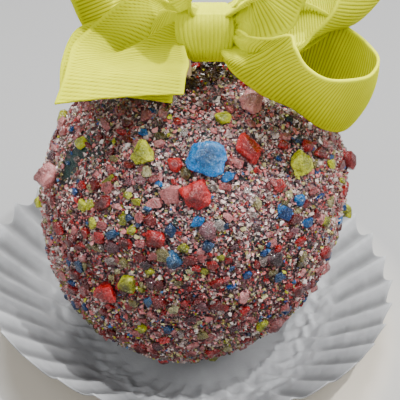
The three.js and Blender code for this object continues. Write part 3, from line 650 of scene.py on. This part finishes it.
def shard_shapes(count, corners, seed):
    """Sharp broken shapes about 1 across: hulls of uneven points round a ball."""
    rng = np.random.default_rng(seed)
    shapes = []
    for _ in range(count):
        ball = unit(spiral(corners) + rng.normal(scale=0.35, size=(corners, 3)))
        bm = bmesh.new()
        for p in ball * rng.uniform(0.7, 1.0, (corners, 1)) * 0.5:
            bm.verts.new(p)
        bmesh.ops.convex_hull(bm, input=bm.verts[:])
        loose = [v for v in bm.verts if not v.link_faces]
        bmesh.ops.delete(bm, geom=loose, context="VERTS")
        bmesh.ops.triangulate(bm, faces=bm.faces[:])
        bmesh.ops.recalc_face_normals(bm, faces=bm.faces[:])
        shapes.append(emptied(bm))
    return shapes


def lump_shapes(count, subdivisions, seed, sharpness):
    """Rounded broken blocks about 1 across, with soft edges between uneven flats."""
    rng = np.random.default_rng(seed)
    bm = bmesh.new()
    bmesh.ops.create_icosphere(bm, subdivisions=subdivisions, radius=1)
    ball, faces = emptied(bm)
    ball = unit(ball)
    shapes = []
    for _ in range(count):
        flats = int(rng.integers(9, 14))
        facing = unit(spiral(flats) + rng.normal(scale=0.3, size=(flats, 3)))
        near = np.maximum(ball @ facing.T, 0) / rng.uniform(0.75, 1.0, flats)
        radius = np.minimum((near**sharpness).sum(1) ** (-1 / sharpness), 1.3)
        radius = radius * (1 + 0.025 * waves(ball, int(rng.integers(1e6)), 0.5))
        points = ball * radius[:, None]
        points /= (points.max(0) - points.min(0))
        shapes.append((points, faces))
    return shapes


def turned(count, outward, tilt, rng, spin=None):
    """For each place, a matrix whose columns are the piece's own axes, turned at random."""
    side = unit(np.cross(np.array([0.0, 0.0, 1.0]), outward))
    rise = np.cross(outward, side)
    spin = rng.uniform(0, 2 * np.pi, count) if spin is None else np.asarray(spin)
    x = side * np.cos(spin)[:, None] + rise * np.sin(spin)[:, None]
    y = -side * np.sin(spin)[:, None] + rise * np.cos(spin)[:, None]
    lean = rng.uniform(0, 1, count) * np.radians(tilt)
    about = rng.uniform(0, 2 * np.pi, count)
    axis = x * np.cos(about)[:, None] + y * np.sin(about)[:, None]
    result = []
    for v in (x, y, outward):
        dot = (axis * v).sum(1, keepdims=True)
        c, s = np.cos(lean)[:, None], np.sin(lean)[:, None]
        result.append(v * c + np.cross(axis, v) * s + axis * dot * (1 - c))
    return np.stack(result, -1)


def scattered(shapes, centres, frames, sizes, rng):
    """A copy of a shape at each place: points, triangles, and how near each point is to the rim."""
    choice = rng.integers(0, len(shapes), len(centres))
    points, faces, rim, start = [], [], [], 0
    for k, (shape, triangles) in enumerate(shapes):
        index = np.flatnonzero(choice == k)
        if not len(index):
            continue
        local = shape[None] * sizes[index][:, None, :]
        placed = np.einsum("nij,nmj->nmi", frames[index], local) + centres[index][:, None]
        points.append(placed.reshape(-1, 3))
        offsets = start + np.arange(len(index))[:, None, None] * len(shape)
        faces.append((triangles[None] + offsets).reshape(-1, 3))
        rim.append(np.tile(np.hypot(shape[:, 0], shape[:, 1]) * 2, len(index)))
        start += len(index) * len(shape)
    points = np.vstack(points)
    points[:, 2] = np.maximum(points[:, 2], CRUMB_FLOOR)
    return points, np.vstack(faces), np.concatenate(rim)


def on_cad(place, outward, reach):
    """Whether the part's own solid stands proud of the skin here, so that its lump was kept."""
    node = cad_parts["candied_apple"]
    co = np.zeros(len(node.data.vertices) * 3, np.float32)
    node.data.vertices.foreach_get("co", co)
    co = co.reshape(-1, 3) / MM
    near = np.linalg.norm(co - place, axis=1) < reach
    return bool(near.any()) and float(((co[near] - place) @ outward).max()) > 0.35


def spread(seed, count, low, high):
    """Places drawn evenly over the skin by area, with their azimuths and outward directions."""
    rng = np.random.default_rng(seed)
    along = np.linspace(low, high, 1500)
    radius, height = outline(along)
    area = radius * np.hypot(np.gradient(radius), np.gradient(height))
    share = np.cumsum(area)
    share = (share - share[0]) / (share[-1] - share[0])
    azimuth = rng.uniform(-180, 180, count)
    places, outward = skin(azimuth, np.interp(rng.uniform(0, 1, count), share, along))
    return rng, azimuth, places, outward


# ---- Candy pieces ------------------------------------------------------------------------


def large_lumps():
    """Each of the largest lumps replaces its own node."""
    shapes = lump_shapes(len(LARGE_LUMPS), 5, 21, sharpness=18)
    made = []
    for shape, (name, (azimuth, along, size, colour)) in zip(shapes, LARGE_LUMPS.items()):
        place, outward = skin([azimuth], [along])
        rng = np.random.default_rng(1)
        frames = turned(1, outward, 0, rng, spin=[0])
        centre = place + outward * size[2] * 0.22
        points, faces, rim = scattered([shape], centre, frames, np.array([size], float), rng)
        pits = waves(points, 71, 1.6) * 0.10 + waves(points, 72, 0.8) * 0.06
        points = points + unit(points - centre) * pits[:, None]
        slot = SLOTS[colour]
        obj = make_object(name + "_look", points, faces, LUMP[colour], True, slot, rim=rim)
        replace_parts(obj, name)
        made.append((place[0], max(size) / 2))
    return made


def small_lumps():
    """The lumps that are fused to the candy in the part, and the colour of each."""
    rng = np.random.default_rng(31)
    draw = draw_from(GRAIN_SEED)
    places = []
    for azimuth, along, width, height, off, colour in PLACED_GRAINS:
        size = (width, height, min(width, height) * 0.9)
        places.append((azimuth, along, off, size, 0.0, colour))
    golden = 180 * (3 - math.sqrt(5))
    names = ["red", "rose", "lime", "blue", "navy", "straw", "plum"]
    weights = [0.30, 0.24, 0.15, 0.08, 0.08, 0.03, 0.12]
    for i in range(GRAINS):
        share = (i + 0.5) / GRAINS
        shuffled = (share * 89) % 1
        height = LOWEST + (HIGHEST - LOWEST) * shuffled**0.9
        azimuth = i * golden + 25 * draw()
        width = LARGEST + (SMALLEST - LARGEST) * math.sqrt(share)
        size = (width * (0.8 + 0.4 * draw()), width * (0.8 + 0.4 * draw()), width * 0.85)
        spin = draw() * math.pi
        colour = str(rng.choice(names, p=weights))
        places.append((azimuth, along_at_height(height), 0.0, size, spin, colour))
    kept = []
    for azimuth, along, off, size, spin, colour in places:
        place, outward = skin([azimuth], [along], [off])
        if on_cad(place[0], outward[0], max(size) * 0.75):
            kept.append((place[0], outward[0], size, spin, colour))
    return kept


# The share of each colour among the fine crumbs and flakes, and among the larger chips.
FINE, COARSE = 0, 1
SHARES = {
    "clear": (0.38, 0.17), "rose": (0.22, 0.27), "straw": (0.12, 0.12), "plum": (0.13, 0.11),
    "red": (0.10, 0.19), "lime": (0.02, 0.05), "navy": (0.015, 0.04), "blue": (0.015, 0.05),
    # Shadow brown crumbs are laid only in the painted shadow of the bow.
    "shadow_brown": (0.0, 0.0),
}


def redder_at(places, azimuth):
    """How near a place is to the redder patch left of the middle, from 0 to 1."""
    return np.exp(-(((azimuth + 22) / 34) ** 2 + ((places[:, 2] - 48) / 15) ** 2))


def colours_at(places, azimuth, rng, size=FINE):
    """A colour for each piece: redder left of the middle, darker right of it, paler at the top as
    painted light from above, paler at the sides, and brown as a painted shadow under the bow."""
    height = places[:, 2]
    redder, shaded = redder_at(places, azimuth), under_bow(places)
    darker = np.exp(-(((azimuth - 32) / 24) ** 2 + ((height - 47) / 14) ** 2))
    sides = 0.8 * smoothstep(35, 62, np.abs(azimuth)) * smoothstep(15, 40, height)
    # Paler at the top stands for painted light falling from above.
    paler = np.maximum(smoothstep(50, 66, height), sides)
    patches = {n: np.maximum(waves(places, seed, scale), 0)
               for n, seed, scale in (("red", 43, 9), ("straw", 44, 11), ("rose", 45, 9))}
    clearer = np.maximum(1 - 0.75 * redder - 0.5 * darker + 1.9 * paler, 0.1)
    factors = {
        "red": 0.6 + 1.9 * redder + 0.8 * patches["red"],
        "plum": (0.8 + 1.2 * redder + 0.6 * darker) * (1 - 0.6 * paler),
        "rose": (1 + 0.8 * patches["rose"]) * (1 + 1.2 * paler) * (1 - shaded),
        "straw": 1 + 1.2 * patches["straw"],
        "clear": clearer * (1 - shaded),
    }
    names = list(SHARES)
    plain = np.ones(len(places))
    weight = np.stack([SHARES[n][size] * factors.get(n, plain) for n in names], -1)
    # Brown crumbs under the bow, in place of the paler ones: a painted shadow.
    weight[:, names.index("shadow_brown")] += 1.5 * shaded
    weight = np.cumsum(weight / weight.sum(1, keepdims=True), 1)
    kind = (rng.uniform(0, 1, len(places))[:, None] > weight).sum(1).clip(0, len(names) - 1)
    return np.array(names)[kind]


def clear_of(taken, places, margin):
    """Which places are free of the pieces already laid, by a share of how far each reaches."""
    free = np.ones(len(places), bool)
    for centre, reach in taken:
        free &= np.linalg.norm(places - centre, axis=1) > reach * margin
    return free


def laid_fine(kind, colour, shapes, centres, frames, size, rng):
    """One piece of all the crumbs or flakes of a colour."""
    points, faces, _ = scattered(shapes, centres, frames, size, rng)
    make_object(kind + colour, points, faces, CANDY[colour], False, SLOTS[colour])


def crumbs(taken):
    """Fine sharp crumbs, one piece for each colour."""
    rng, azimuth, places, outward = spread(77, CRUMB_TRIES, 0.07, 0.995)
    cover = cover_at(places, azimuth)
    by_stick = smoothstep(2.6, 4.5, from_dimple(places))
    cover = np.where(places[:, 2] > 60, cover * by_stick, cover)
    keep = rng.uniform(0, 1, len(places)) < cover
    width = 0.46 + 0.8 * rng.uniform(0, 1, len(places)) ** 2.8
    keep &= clear_of(taken, places, 0.82)
    kind = colours_at(places, azimuth, rng)
    shapes = shard_shapes(8, 4, 4) + shard_shapes(6, 5, 5) + shard_shapes(4, 6, 6)
    for name in SHARES:
        index = np.flatnonzero(keep & (kind == name))
        n = len(index)
        size = width[index][:, None] * rng.uniform(0.7, 1.4, (n, 3))
        frames = turned(n, outward[index], 60, rng)
        lift = -0.3 + size[:, 2] * rng.uniform(0.1, 0.55, n)
        centres = places[index] + outward[index] * lift[:, None]
        laid_fine("crumbs_", name, shapes, centres, frames, size, rng)


def chips(taken):
    """Middle-sized rounded chips, laid on one by one at the front and by rule everywhere."""
    rng, azimuth, places, outward = spread(90, CHIP_TRIES, 0.2, 0.93)
    keep = rng.uniform(0, 1, len(places)) < 0.9 - 0.5 * smoothstep(26, 8, places[:, 2])
    kind = colours_at(places, azimuth, rng, COARSE)
    width = 1.3 + 2.1 * rng.uniform(0, 1, len(places)) ** 2.0
    width *= 1 + 0.3 * redder_at(places, azimuth)
    width[kind == "clear"] *= 0.8
    by_hand, facing = skin([chip[0] for chip in CHIPS], [chip[1] for chip in CHIPS])
    laid = [(place, max(chip[2:4]) / 2) for place, chip in zip(by_hand, CHIPS)]
    keep &= clear_of(taken + laid, places, 1.1)
    shapes = shard_shapes(14, 16, 15)
    for name in SHARES:
        index = np.flatnonzero(keep & (kind == name))
        mine = [i for i, chip in enumerate(CHIPS) if chip[4] == name]
        size = width[index][:, None] * rng.uniform(0.75, 1.3, (len(index), 3))
        size[:, 2] *= 0.6
        held = [(CHIPS[i][2] * 1.3, CHIPS[i][3] * 1.3, min(CHIPS[i][2:4])) for i in mine]
        size = np.vstack([size, np.array(held).reshape(-1, 3)])
        ahead = np.vstack([outward[index], facing[mine]])
        spin = np.concatenate([rng.uniform(0, 2 * np.pi, len(index)), np.zeros(len(mine))])
        frames = turned(len(size), ahead, 22, rng, spin=spin)
        centres = np.vstack([places[index], by_hand[mine]]) + ahead * (size[:, 2] * 0.15)[:, None]
        points, faces, rim = scattered(shapes, centres, frames, size, rng)
        make_object("chips_" + name, points, faces, LUMP[name], False, SLOTS[name], rim=rim)


def flakes(taken):
    """Thin sharp flakes that stand at all angles and catch the light."""
    rng, azimuth, places, outward = spread(91, FLAKE_TRIES, 0.12, 0.96)
    keep = rng.uniform(0, 1, len(places)) < cover_at(places, azimuth)
    keep &= clear_of(taken, places, 1.0)
    kind = colours_at(places, azimuth, rng)
    shapes = shard_shapes(12, 8, 25)
    for name in SHARES:
        index = np.flatnonzero(keep & (kind == name))
        n = len(index)
        size = (1.0 + 1.1 * rng.uniform(0, 1, n) ** 2)[:, None] * rng.uniform(0.7, 1.3, (n, 3))
        size[:, 2] *= 0.28
        frames = turned(n, outward[index], 80, rng)
        centres = places[index] + outward[index] * rng.uniform(0.0, 0.35, n)[:, None]
        laid_fine("flakes_", name, shapes, centres, frames, size, rng)


def fused_lumps(lumps):
    """The small lumps, one piece for each colour, finely pitted."""
    rng = np.random.default_rng(12)
    shapes = lump_shapes(16, 3, 8, sharpness=22)
    for colour in sorted({lump[4] for lump in lumps}):
        mine = [lump for lump in lumps if lump[4] == colour]
        outward = np.array([lump[1] for lump in mine])
        size = np.array([lump[2] for lump in mine])
        frames = turned(len(mine), outward, 8, rng, spin=[lump[3] for lump in mine])
        centres = np.array([lump[0] for lump in mine]) + outward * (size[:, 2] * 0.08)[:, None]
        points, faces, rim = scattered(shapes, centres, frames, size, rng)
        pits = waves(points, 73, 1.2) * 0.05
        points = points + np.repeat(outward, len(shapes[0][0]), 0) * pits[:, None]
        make_object("lumps_" + colour, points, faces, LUMP[colour], True, SLOTS[colour], rim=rim)


# ---- Bow ---------------------------------------------------------------------------------


def through(points, t):
    """Uniform Catmull-Rom curve through points, at t from 0 to 1."""
    count = len(points)
    padded = np.vstack([2 * points[0] - points[1], points, 2 * points[-1] - points[-2]])
    place = np.clip(t * (count - 1), 0, count - 1 - 1e-9)
    i = place.astype(int)
    f = (place - i)[:, None]
    p0, p1, p2, p3 = padded[i], padded[i + 1], padded[i + 2], padded[i + 3]
    return 0.5 * (
        2 * p1 + (p2 - p0) * f + (2 * p0 - 5 * p1 + 4 * p2 - p3) * f**2
        + (3 * p1 - p0 - 3 * p2 + p3) * f**3
    )


# Soft folds: at which share of the width, how wide, how high, and the stations between which
# they grow. A sixth number is how far they drift across from one station to the next.
FOLDS = {
    "left_tail": [(0.11, 0.10, 2.2, 2.0, 4.5, 0.14), (-0.12, 0.16, -3.2, 1.8, 4.5, 0.14)],
    "low_right_loop": [
        (0.17, 0.10, -2.0, 6.0, 2.5), (0.42, 0.13, 1.2, 6.0, 1.5), (0.72, 0.15, -0.9, 4.5, 1.0),
    ],
    "up_right_loop": [
        (0.74, 0.10, 1.3, 5.0, 1.0), (0.90, 0.08, -0.8, 4.5, 1.0), (0.42, 0.14, -0.9, 4.0, 1.0),
    ],
    "up_left_loop": [(0.35, 0.12, 1.1, 5.0, 1.0), (0.66, 0.13, -1.1, 4.5, 1.0)],
}
# How far the ribs run on from one selvedge to the other, at first and further along.
RIB_LEAN = {"left_tail": (4.5, 10.0, 3.0, 12.0), "under_tail": (-3.0, 0.0, 3.0, 12.0)}


def grosgrain(name, stations, seed):
    """One length of ribbon, with raised ribs from edge to edge and a woven selvedge."""
    width = TIE_WIDTH if name == "stick_tie" else RIBBON_WIDTH
    stations = np.array(stations, float)
    near, far, arch = stations[:, :3], stations[:, 3:6], stations[:, 6:]
    fine = np.linspace(0, 1, 3000)
    line = (through(near, fine) + through(far, fine)) / 2
    travelled = np.concatenate([[0], np.cumsum(np.linalg.norm(np.diff(line, axis=0), axis=1))])
    length = travelled[-1]
    at = np.linspace(0, length, int(length / (RIB_PITCH / 5)))
    t = np.interp(at, travelled, fine)
    a, b = through(near, t), through(far, t)
    edge = np.array([0, 0.35, 0.8]) / width
    between = np.linspace(1.4, width - 1.4, int(width / 1.2)) / width
    across = np.concatenate([edge, between, 1 - edge[::-1]])
    w = across[None, :, None]
    travel = np.gradient((a + b) / 2, axis=0)
    out = unit(np.cross(b - a, travel))
    station = t[:, None] * (len(stations) - 1)
    lift = through(arch, t) * 4 * across * (1 - across)
    for place, spread_over, height, start, full, *drift in FOLDS.get(name, []):
        place = place + sum(drift) * station
        bell = np.exp(-(((across - place) / spread_over) ** 2))
        lift = lift + height * bell * smoothstep(start, full, station)
    narrow = smoothstep(0.6 * width, 0.25 * width, np.linalg.norm(b - a, axis=1))
    from_knot = np.linalg.norm((a + b) / 2 - KNOT_CENTRE, axis=1)
    in_knot = smoothstep(8.4, 5.6, from_knot)
    depth = GATHER_DEPTH.get(name, USUAL_GATHER) * (narrow * in_knot)[:, None]
    lift = lift + depth * np.sin(2 * np.pi * GATHERS * across + seed)
    middle = a[:, None] * (1 - w) + b[:, None] * w + out[:, None] * lift[..., None]
    normal = unit(np.cross(np.gradient(middle, axis=1), np.gradient(middle, axis=0)))
    from_edge = np.minimum(across, 1 - across) * width
    mask = smoothstep(0.4, 1.1, from_edge)
    first, last, start, full = RIB_LEAN.get(name, (0, 0, 0, 1))
    lean = first + (last - first) * smoothstep(start, full, at)
    turn = (at[:, None] + lean[:, None] * across) / RIB_PITCH * np.pi
    crest = 1 - (1 - np.abs(np.sin(turn)) ** 0.7) * mask
    bead = 0.06 * (1 - smoothstep(0.3, 0.9, from_edge))
    half = 0.14 + RIB_HEIGHT * crest * mask + 0.1 * (1 - mask) + bead
    # Painted shade between the ribs, fainter near the knot.
    shade = 1 - (1 - crest) * (1 - 0.8 * smoothstep(13, 8, from_knot))[:, None]
    half = normal * half[..., None]
    obj = shell(name, middle + half, middle - half, RIBBON, "ribbon", rib=shade)
    return obj


def rolled_band(name, half_width, depth, height, shift, ribbed):
    """A length of ribbon rolled round the middle of the bow, squeezed in at its top and foot."""
    rows, columns = (132, 88) if ribbed else (64, 24)
    turn = np.linspace(0, 2 * np.pi, rows, endpoint=False)
    x = np.linspace(-1, 1, columns)
    x = np.sign(x) * np.abs(x) ** 0.85
    side = 1 - 0.16 * np.maximum(np.abs(x) - 0.72, 0) ** 2 / 0.28**2
    power = 2 / 2.6
    oval_y = -np.sign(np.cos(turn)) * np.abs(np.cos(turn)) ** power
    oval_z = np.sign(np.sin(turn)) * np.abs(np.sin(turn)) ** power
    angle = np.where(turn > np.pi, turn - 2 * np.pi, turn)
    front = smoothstep(-1.05, -0.92, angle) * smoothstep(1.2, 0.95, angle)
    ends = 1 - smoothstep(0.88, 0.97, np.abs(x))
    groove = (1 - np.abs(np.cos(x * KNOT_HALF / KNOT_PITCH * np.pi)) ** 0.7) * ends
    groove = groove * (0.25 + 0.75 * front)[:, None]
    hem = 0.32 * np.exp(-(((angle + 1.03) / 0.06) ** 2))
    hem = hem + 0.12 * np.exp(-(((angle - 1.06) / 0.06) ** 2))
    step = 0.15 * smoothstep(1.06, 1.2, angle) * smoothstep(2.0, 1.7, angle)
    bead = 0.14 * np.exp(-(((np.abs(x) - 0.95) / 0.035) ** 2))
    raised = 0.1 - 0.24 * groove + bead + (hem - step)[:, None]
    raised = raised if ribbed else np.zeros((rows, columns))
    points = np.stack([
        np.broadcast_to(x * half_width, (rows, columns)),
        oval_y[:, None] * ((depth - 0.15) * side + raised),
        oval_z[:, None] * ((height - 0.15) * side + raised),
    ], -1)
    up = points[..., 1] * math.sin(KNOT_LEAN) + points[..., 2] * math.cos(KNOT_LEAN)
    up = up / KNOT_HEIGHT
    left = 1 + LEFT_SWELL - LEFT_PINCH * up**2
    points[..., 0] *= np.where(points[..., 0] < 0, left, 1 - RIGHT_PINCH * up**2)
    points[..., 0] += shift
    inner = points * np.array([1.0, 0.8, 0.83]) + KNOT_CENTRE
    points = points + KNOT_CENTRE
    # Painted shade in the grooves between the ribs of the band.
    rib = 1 - 0.4 * groove if ribbed else 1.0
    return shell(name, points, inner, RIBBON, "ribbon", wrap_rows=True, rib=rib)


def knot_band():
    """The band round the middle, with a second layer showing as a border at its left."""
    band = rolled_band("knot_band", KNOT_HALF, KNOT_DEPTH, KNOT_HEIGHT, -0.4, True)
    rolled_band("knot_under_band", KNOT_HALF, KNOT_DEPTH - 0.45, KNOT_HEIGHT - 0.45, -1.1, False)
    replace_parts(band, "bow_knot")


# ---- Stick -------------------------------------------------------------------------------


def stick():
    """A plain round stick with slightly rounded ends."""
    foot, tip = np.array(STICK_FOOT), np.array(STICK_TIP)
    along = unit(tip - foot)
    side = unit(np.cross(along, [0.0, 1.0, 0.0]))
    other = np.cross(along, side)
    length = float(np.linalg.norm(tip - foot))
    end = np.array([0, 0.15, 0.4])
    t = np.concatenate([end, np.linspace(1.0, length - 1.0, 40), length - end[::-1]])
    inset = 0.45 * (np.exp(-t / 0.25) + np.exp(-(length - t) / 0.25))
    turn = np.linspace(0, 2 * np.pi, 40, endpoint=False)
    radius = (STICK_RADIUS - 0.02 - inset)[:, None] + 0.02 * np.sin(3 * turn)[None, :]
    points = foot + along * t[:, None, None] + (
        side * np.cos(turn)[None, :, None] + other * np.sin(turn)[None, :, None]
    ) * radius[..., None]
    rows, columns = len(t), len(turn)
    faces = quads(point_grid(rows, columns, wrap_columns=True)).tolist()
    faces.append(tuple(range(columns - 1, -1, -1)))
    faces.append(tuple(range((rows - 1) * columns, rows * columns)))
    mesh = bpy.data.meshes.new("wooden_stick")
    mesh.from_pydata((points.reshape(-1, 3) * MM).tolist(), [], faces)
    bm = bmesh.new()
    bm.from_mesh(mesh)
    bmesh.ops.recalc_face_normals(bm, faces=bm.faces[:])
    bm.to_mesh(mesh)
    bm.free()
    for polygon in mesh.polygons:
        polygon.use_smooth = len(polygon.vertices) == 4
    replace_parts(placed(mesh, WOOD, "stick"), "stick")


# ---- Paper case --------------------------------------------------------------------------


def paper_case():
    """The pleated case: sharp narrow ridges, rounded valleys, and a crushed ring below the rim."""
    base = np.linspace(0.5, CASE_BASE, 6, endpoint=False)
    radius = np.concatenate([base, np.linspace(CASE_BASE, CASE_RIM, 50)])
    even = np.linspace(0, 2 * np.pi, PLEATS * 12, endpoint=False)
    r, even = np.meshgrid(radius, even, indexing="ij")
    up = np.clip((r - CASE_BASE) / (CASE_RIM - CASE_BASE), 0, 1)
    turn, sway, ripple = PLEAT_TURN
    az = even + turn - sway * np.sin(even) + ripple * np.sin(5 * even - 1.75)
    flat = np.stack([r * np.sin(az), -r * np.cos(az), np.zeros_like(r)], -1).reshape(-1, 3)
    crushed = np.exp(-(((up - 0.36 - 0.07 * np.sin(3 * az + 1)) / 0.17) ** 2))
    patch = 0.55 + 0.45 * waves(flat, 63, 30).reshape(r.shape)
    slip = 0.05 * waves(flat, 64, 9).reshape(r.shape) * crushed
    fold = 1 - 2 * np.abs(np.sin(PLEATS * (even + slip) / 2))
    open_ = 1 + 0.012 * fold * up
    x = r * np.sin(az) * open_ + CASE_SHIFT[0] * up
    y = -r * np.cos(az) * open_ + CASE_SHIFT[1] * up
    rise = CASE_HEIGHT - LEFT_RISE * np.sin(az) + FRONT_RISE * np.cos(az)
    z = rise * up**1.5 + PLEAT_DEPTH * (1 + fold) * up**0.7 * (1 - 0.75 * crushed * patch)
    crease = 0.5 - np.abs(waves(flat, 61, 7)).clip(0, 1)
    fine = 0.5 - np.abs(waves(flat, 65, 3.5)).clip(0, 1)
    crinkle = crushed * patch * (2.0 * crease.reshape(r.shape) + 0.8 * fine.reshape(r.shape))
    crinkle = crinkle + 0.13 * waves(flat, 62, 3).reshape(r.shape)
    z = z + crinkle * smoothstep(0.0, 0.15, up) + PAPER * 0.5
    middle = np.stack([x, y, np.maximum(z, PAPER * 0.5)], -1)
    closed = np.concatenate([middle, middle[:, :1]], 1)
    du = np.gradient(closed, axis=0)
    dv = np.gradient(closed, axis=1)
    dv[:, 0] = dv[:, -1] = (closed[:, 1] - closed[:, -2]) / 2
    normal = unit(np.cross(dv, du))
    normal = np.where(normal[..., 2:] < 0, -normal, normal)[:, :-1]
    upper, under = middle + normal * SHEET_HALF, middle - normal * SHEET_HALF
    under[..., 2] = np.where(up <= 0, 0.0, under[..., 2])
    # Painted shade in the pleat valleys, weaker near the base and in the crushed ring.
    valley_shade = 1 - (1 - (1 + fold) / 2) * smoothstep(0.02, 0.3, up) * (1 - 0.7 * crushed)
    looks = {"wrap_columns": True, "fold": valley_shade}
    obj = shell("paper_case_look", under, upper, PAPER_MATERIAL, "paper", **looks)
    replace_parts(obj, "paper_case")


# ---- Assembly ----------------------------------------------------------------------------

core = candy_core()
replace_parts(core, "candied_apple")
big = large_lumps()
small = small_lumps()
fused_lumps(small)
taken = big + [(lump[0], max(lump[2]) / 2) for lump in small]
chips(taken)
flakes(taken)
crumbs(taken)

stick()
knot_band()
for seed, (name, stations) in enumerate(RIBBON_LENGTHS.items()):
    strip = grosgrain(name, stations, seed)
    if seed == 0:
        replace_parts(strip, "bow_ribbon")
paper_case()

# ---- Floor, light and camera -------------------------------------------------------------

floor_material = Nodes("pale_floor")
from_case = floor_material.add("ShaderNodeVectorMath", operation="LENGTH")
floor_material.link(floor_material.place(), from_case.inputs[0])
# The floor is warmer and lighter close round the case, from 52 to 74 mm from its middle.
warm = floor_material.add("ShaderNodeMapRange", From_Min=0.052, From_Max=0.074)
floor_material.link(from_case.outputs["Value"], warm.inputs["Value"])
floor_material.colour(floor_material.ramp(
    warm.outputs["Result"],
    [(0.0, (0.52, 0.47, 0.39)), (0.25, (0.36, 0.345, 0.32)), (0.7, (0.235, 0.235, 0.235))],
))
floor_material.set(Roughness=0.7)
# Half the floor's width, and how far back and how high its front edge and three bends lie.
HALF_FLOOR, FLOOR_BENDS = 900.0, [(-500, 0), (900, 0), (1400, 500), (1500, 1500)]
floor_points = np.array([[[-HALF_FLOOR, y, z], [HALF_FLOOR, y, z]] for y, z in FLOOR_BENDS])
floor_faces = quads(point_grid(len(FLOOR_BENDS), 2))
floor = make_object("floor", floor_points.reshape(-1, 3), floor_faces, floor_material.material)


def area_light(name, place, target, size, power, colour):
    light = bpy.data.lights.new(name, "AREA")
    light.shape = "DISK"
    light.size = size
    light.energy = power
    light.color = colour
    obj = bpy.data.objects.new(name, light)
    bpy.context.scene.collection.objects.link(obj)
    obj.location = place
    obj.rotation_euler = (Vector(target) - Vector(place)).to_track_quat("-Z", "Y").to_euler()


# Where each light is, what it points at, its size, power and colour. The key is high behind.
LIGHTS = {
    "key": ((-0.02, 0.25, 0.75), (0, 0, 0.05), 0.42, 13.0, (1.0, 0.995, 0.98)),
    "fill": ((-0.25, -0.45, 0.6), (0, 0, 0.07), 0.7, 4.2, (0.98, 0.99, 1.0)),
    "side": ((0.38, -0.02, 0.42), (0, 0, 0.08), 0.3, 2.2, (1.0, 1.0, 1.0)),
    "spark": ((0.22, -0.12, 0.7), (0, 0, 0.05), 0.02, 5.5, (1.0, 1.0, 1.0)),
}
for name, settings in LIGHTS.items():
    area_light(name, *settings)

world = bpy.data.worlds.new("studio")
bpy.context.scene.world = world
world.use_nodes = True
sky = world.node_tree.nodes["Background"].inputs
sky["Color"].default_value = (0.80, 0.81, 0.82, 1)
sky["Strength"].default_value = 0.58

# Fitted to the photo: where the camera stands, how far it looks down and its focal length.
CAMERA_PLACE, CAMERA_PITCH, CAMERA_LENS = (0.00176, -0.1601, 0.1716), 39, 73.23
camera_data = bpy.data.cameras.new("camera")
camera_data.sensor_width = 36
camera_data.lens = CAMERA_LENS
camera_data.clip_start = 0.01
camera = bpy.data.objects.new("camera", camera_data)
bpy.context.scene.collection.objects.link(camera)
camera.location = CAMERA_PLACE
camera.rotation_euler = (math.radians(90 - CAMERA_PITCH), 0, 0)
bpy.context.scene.camera = camera
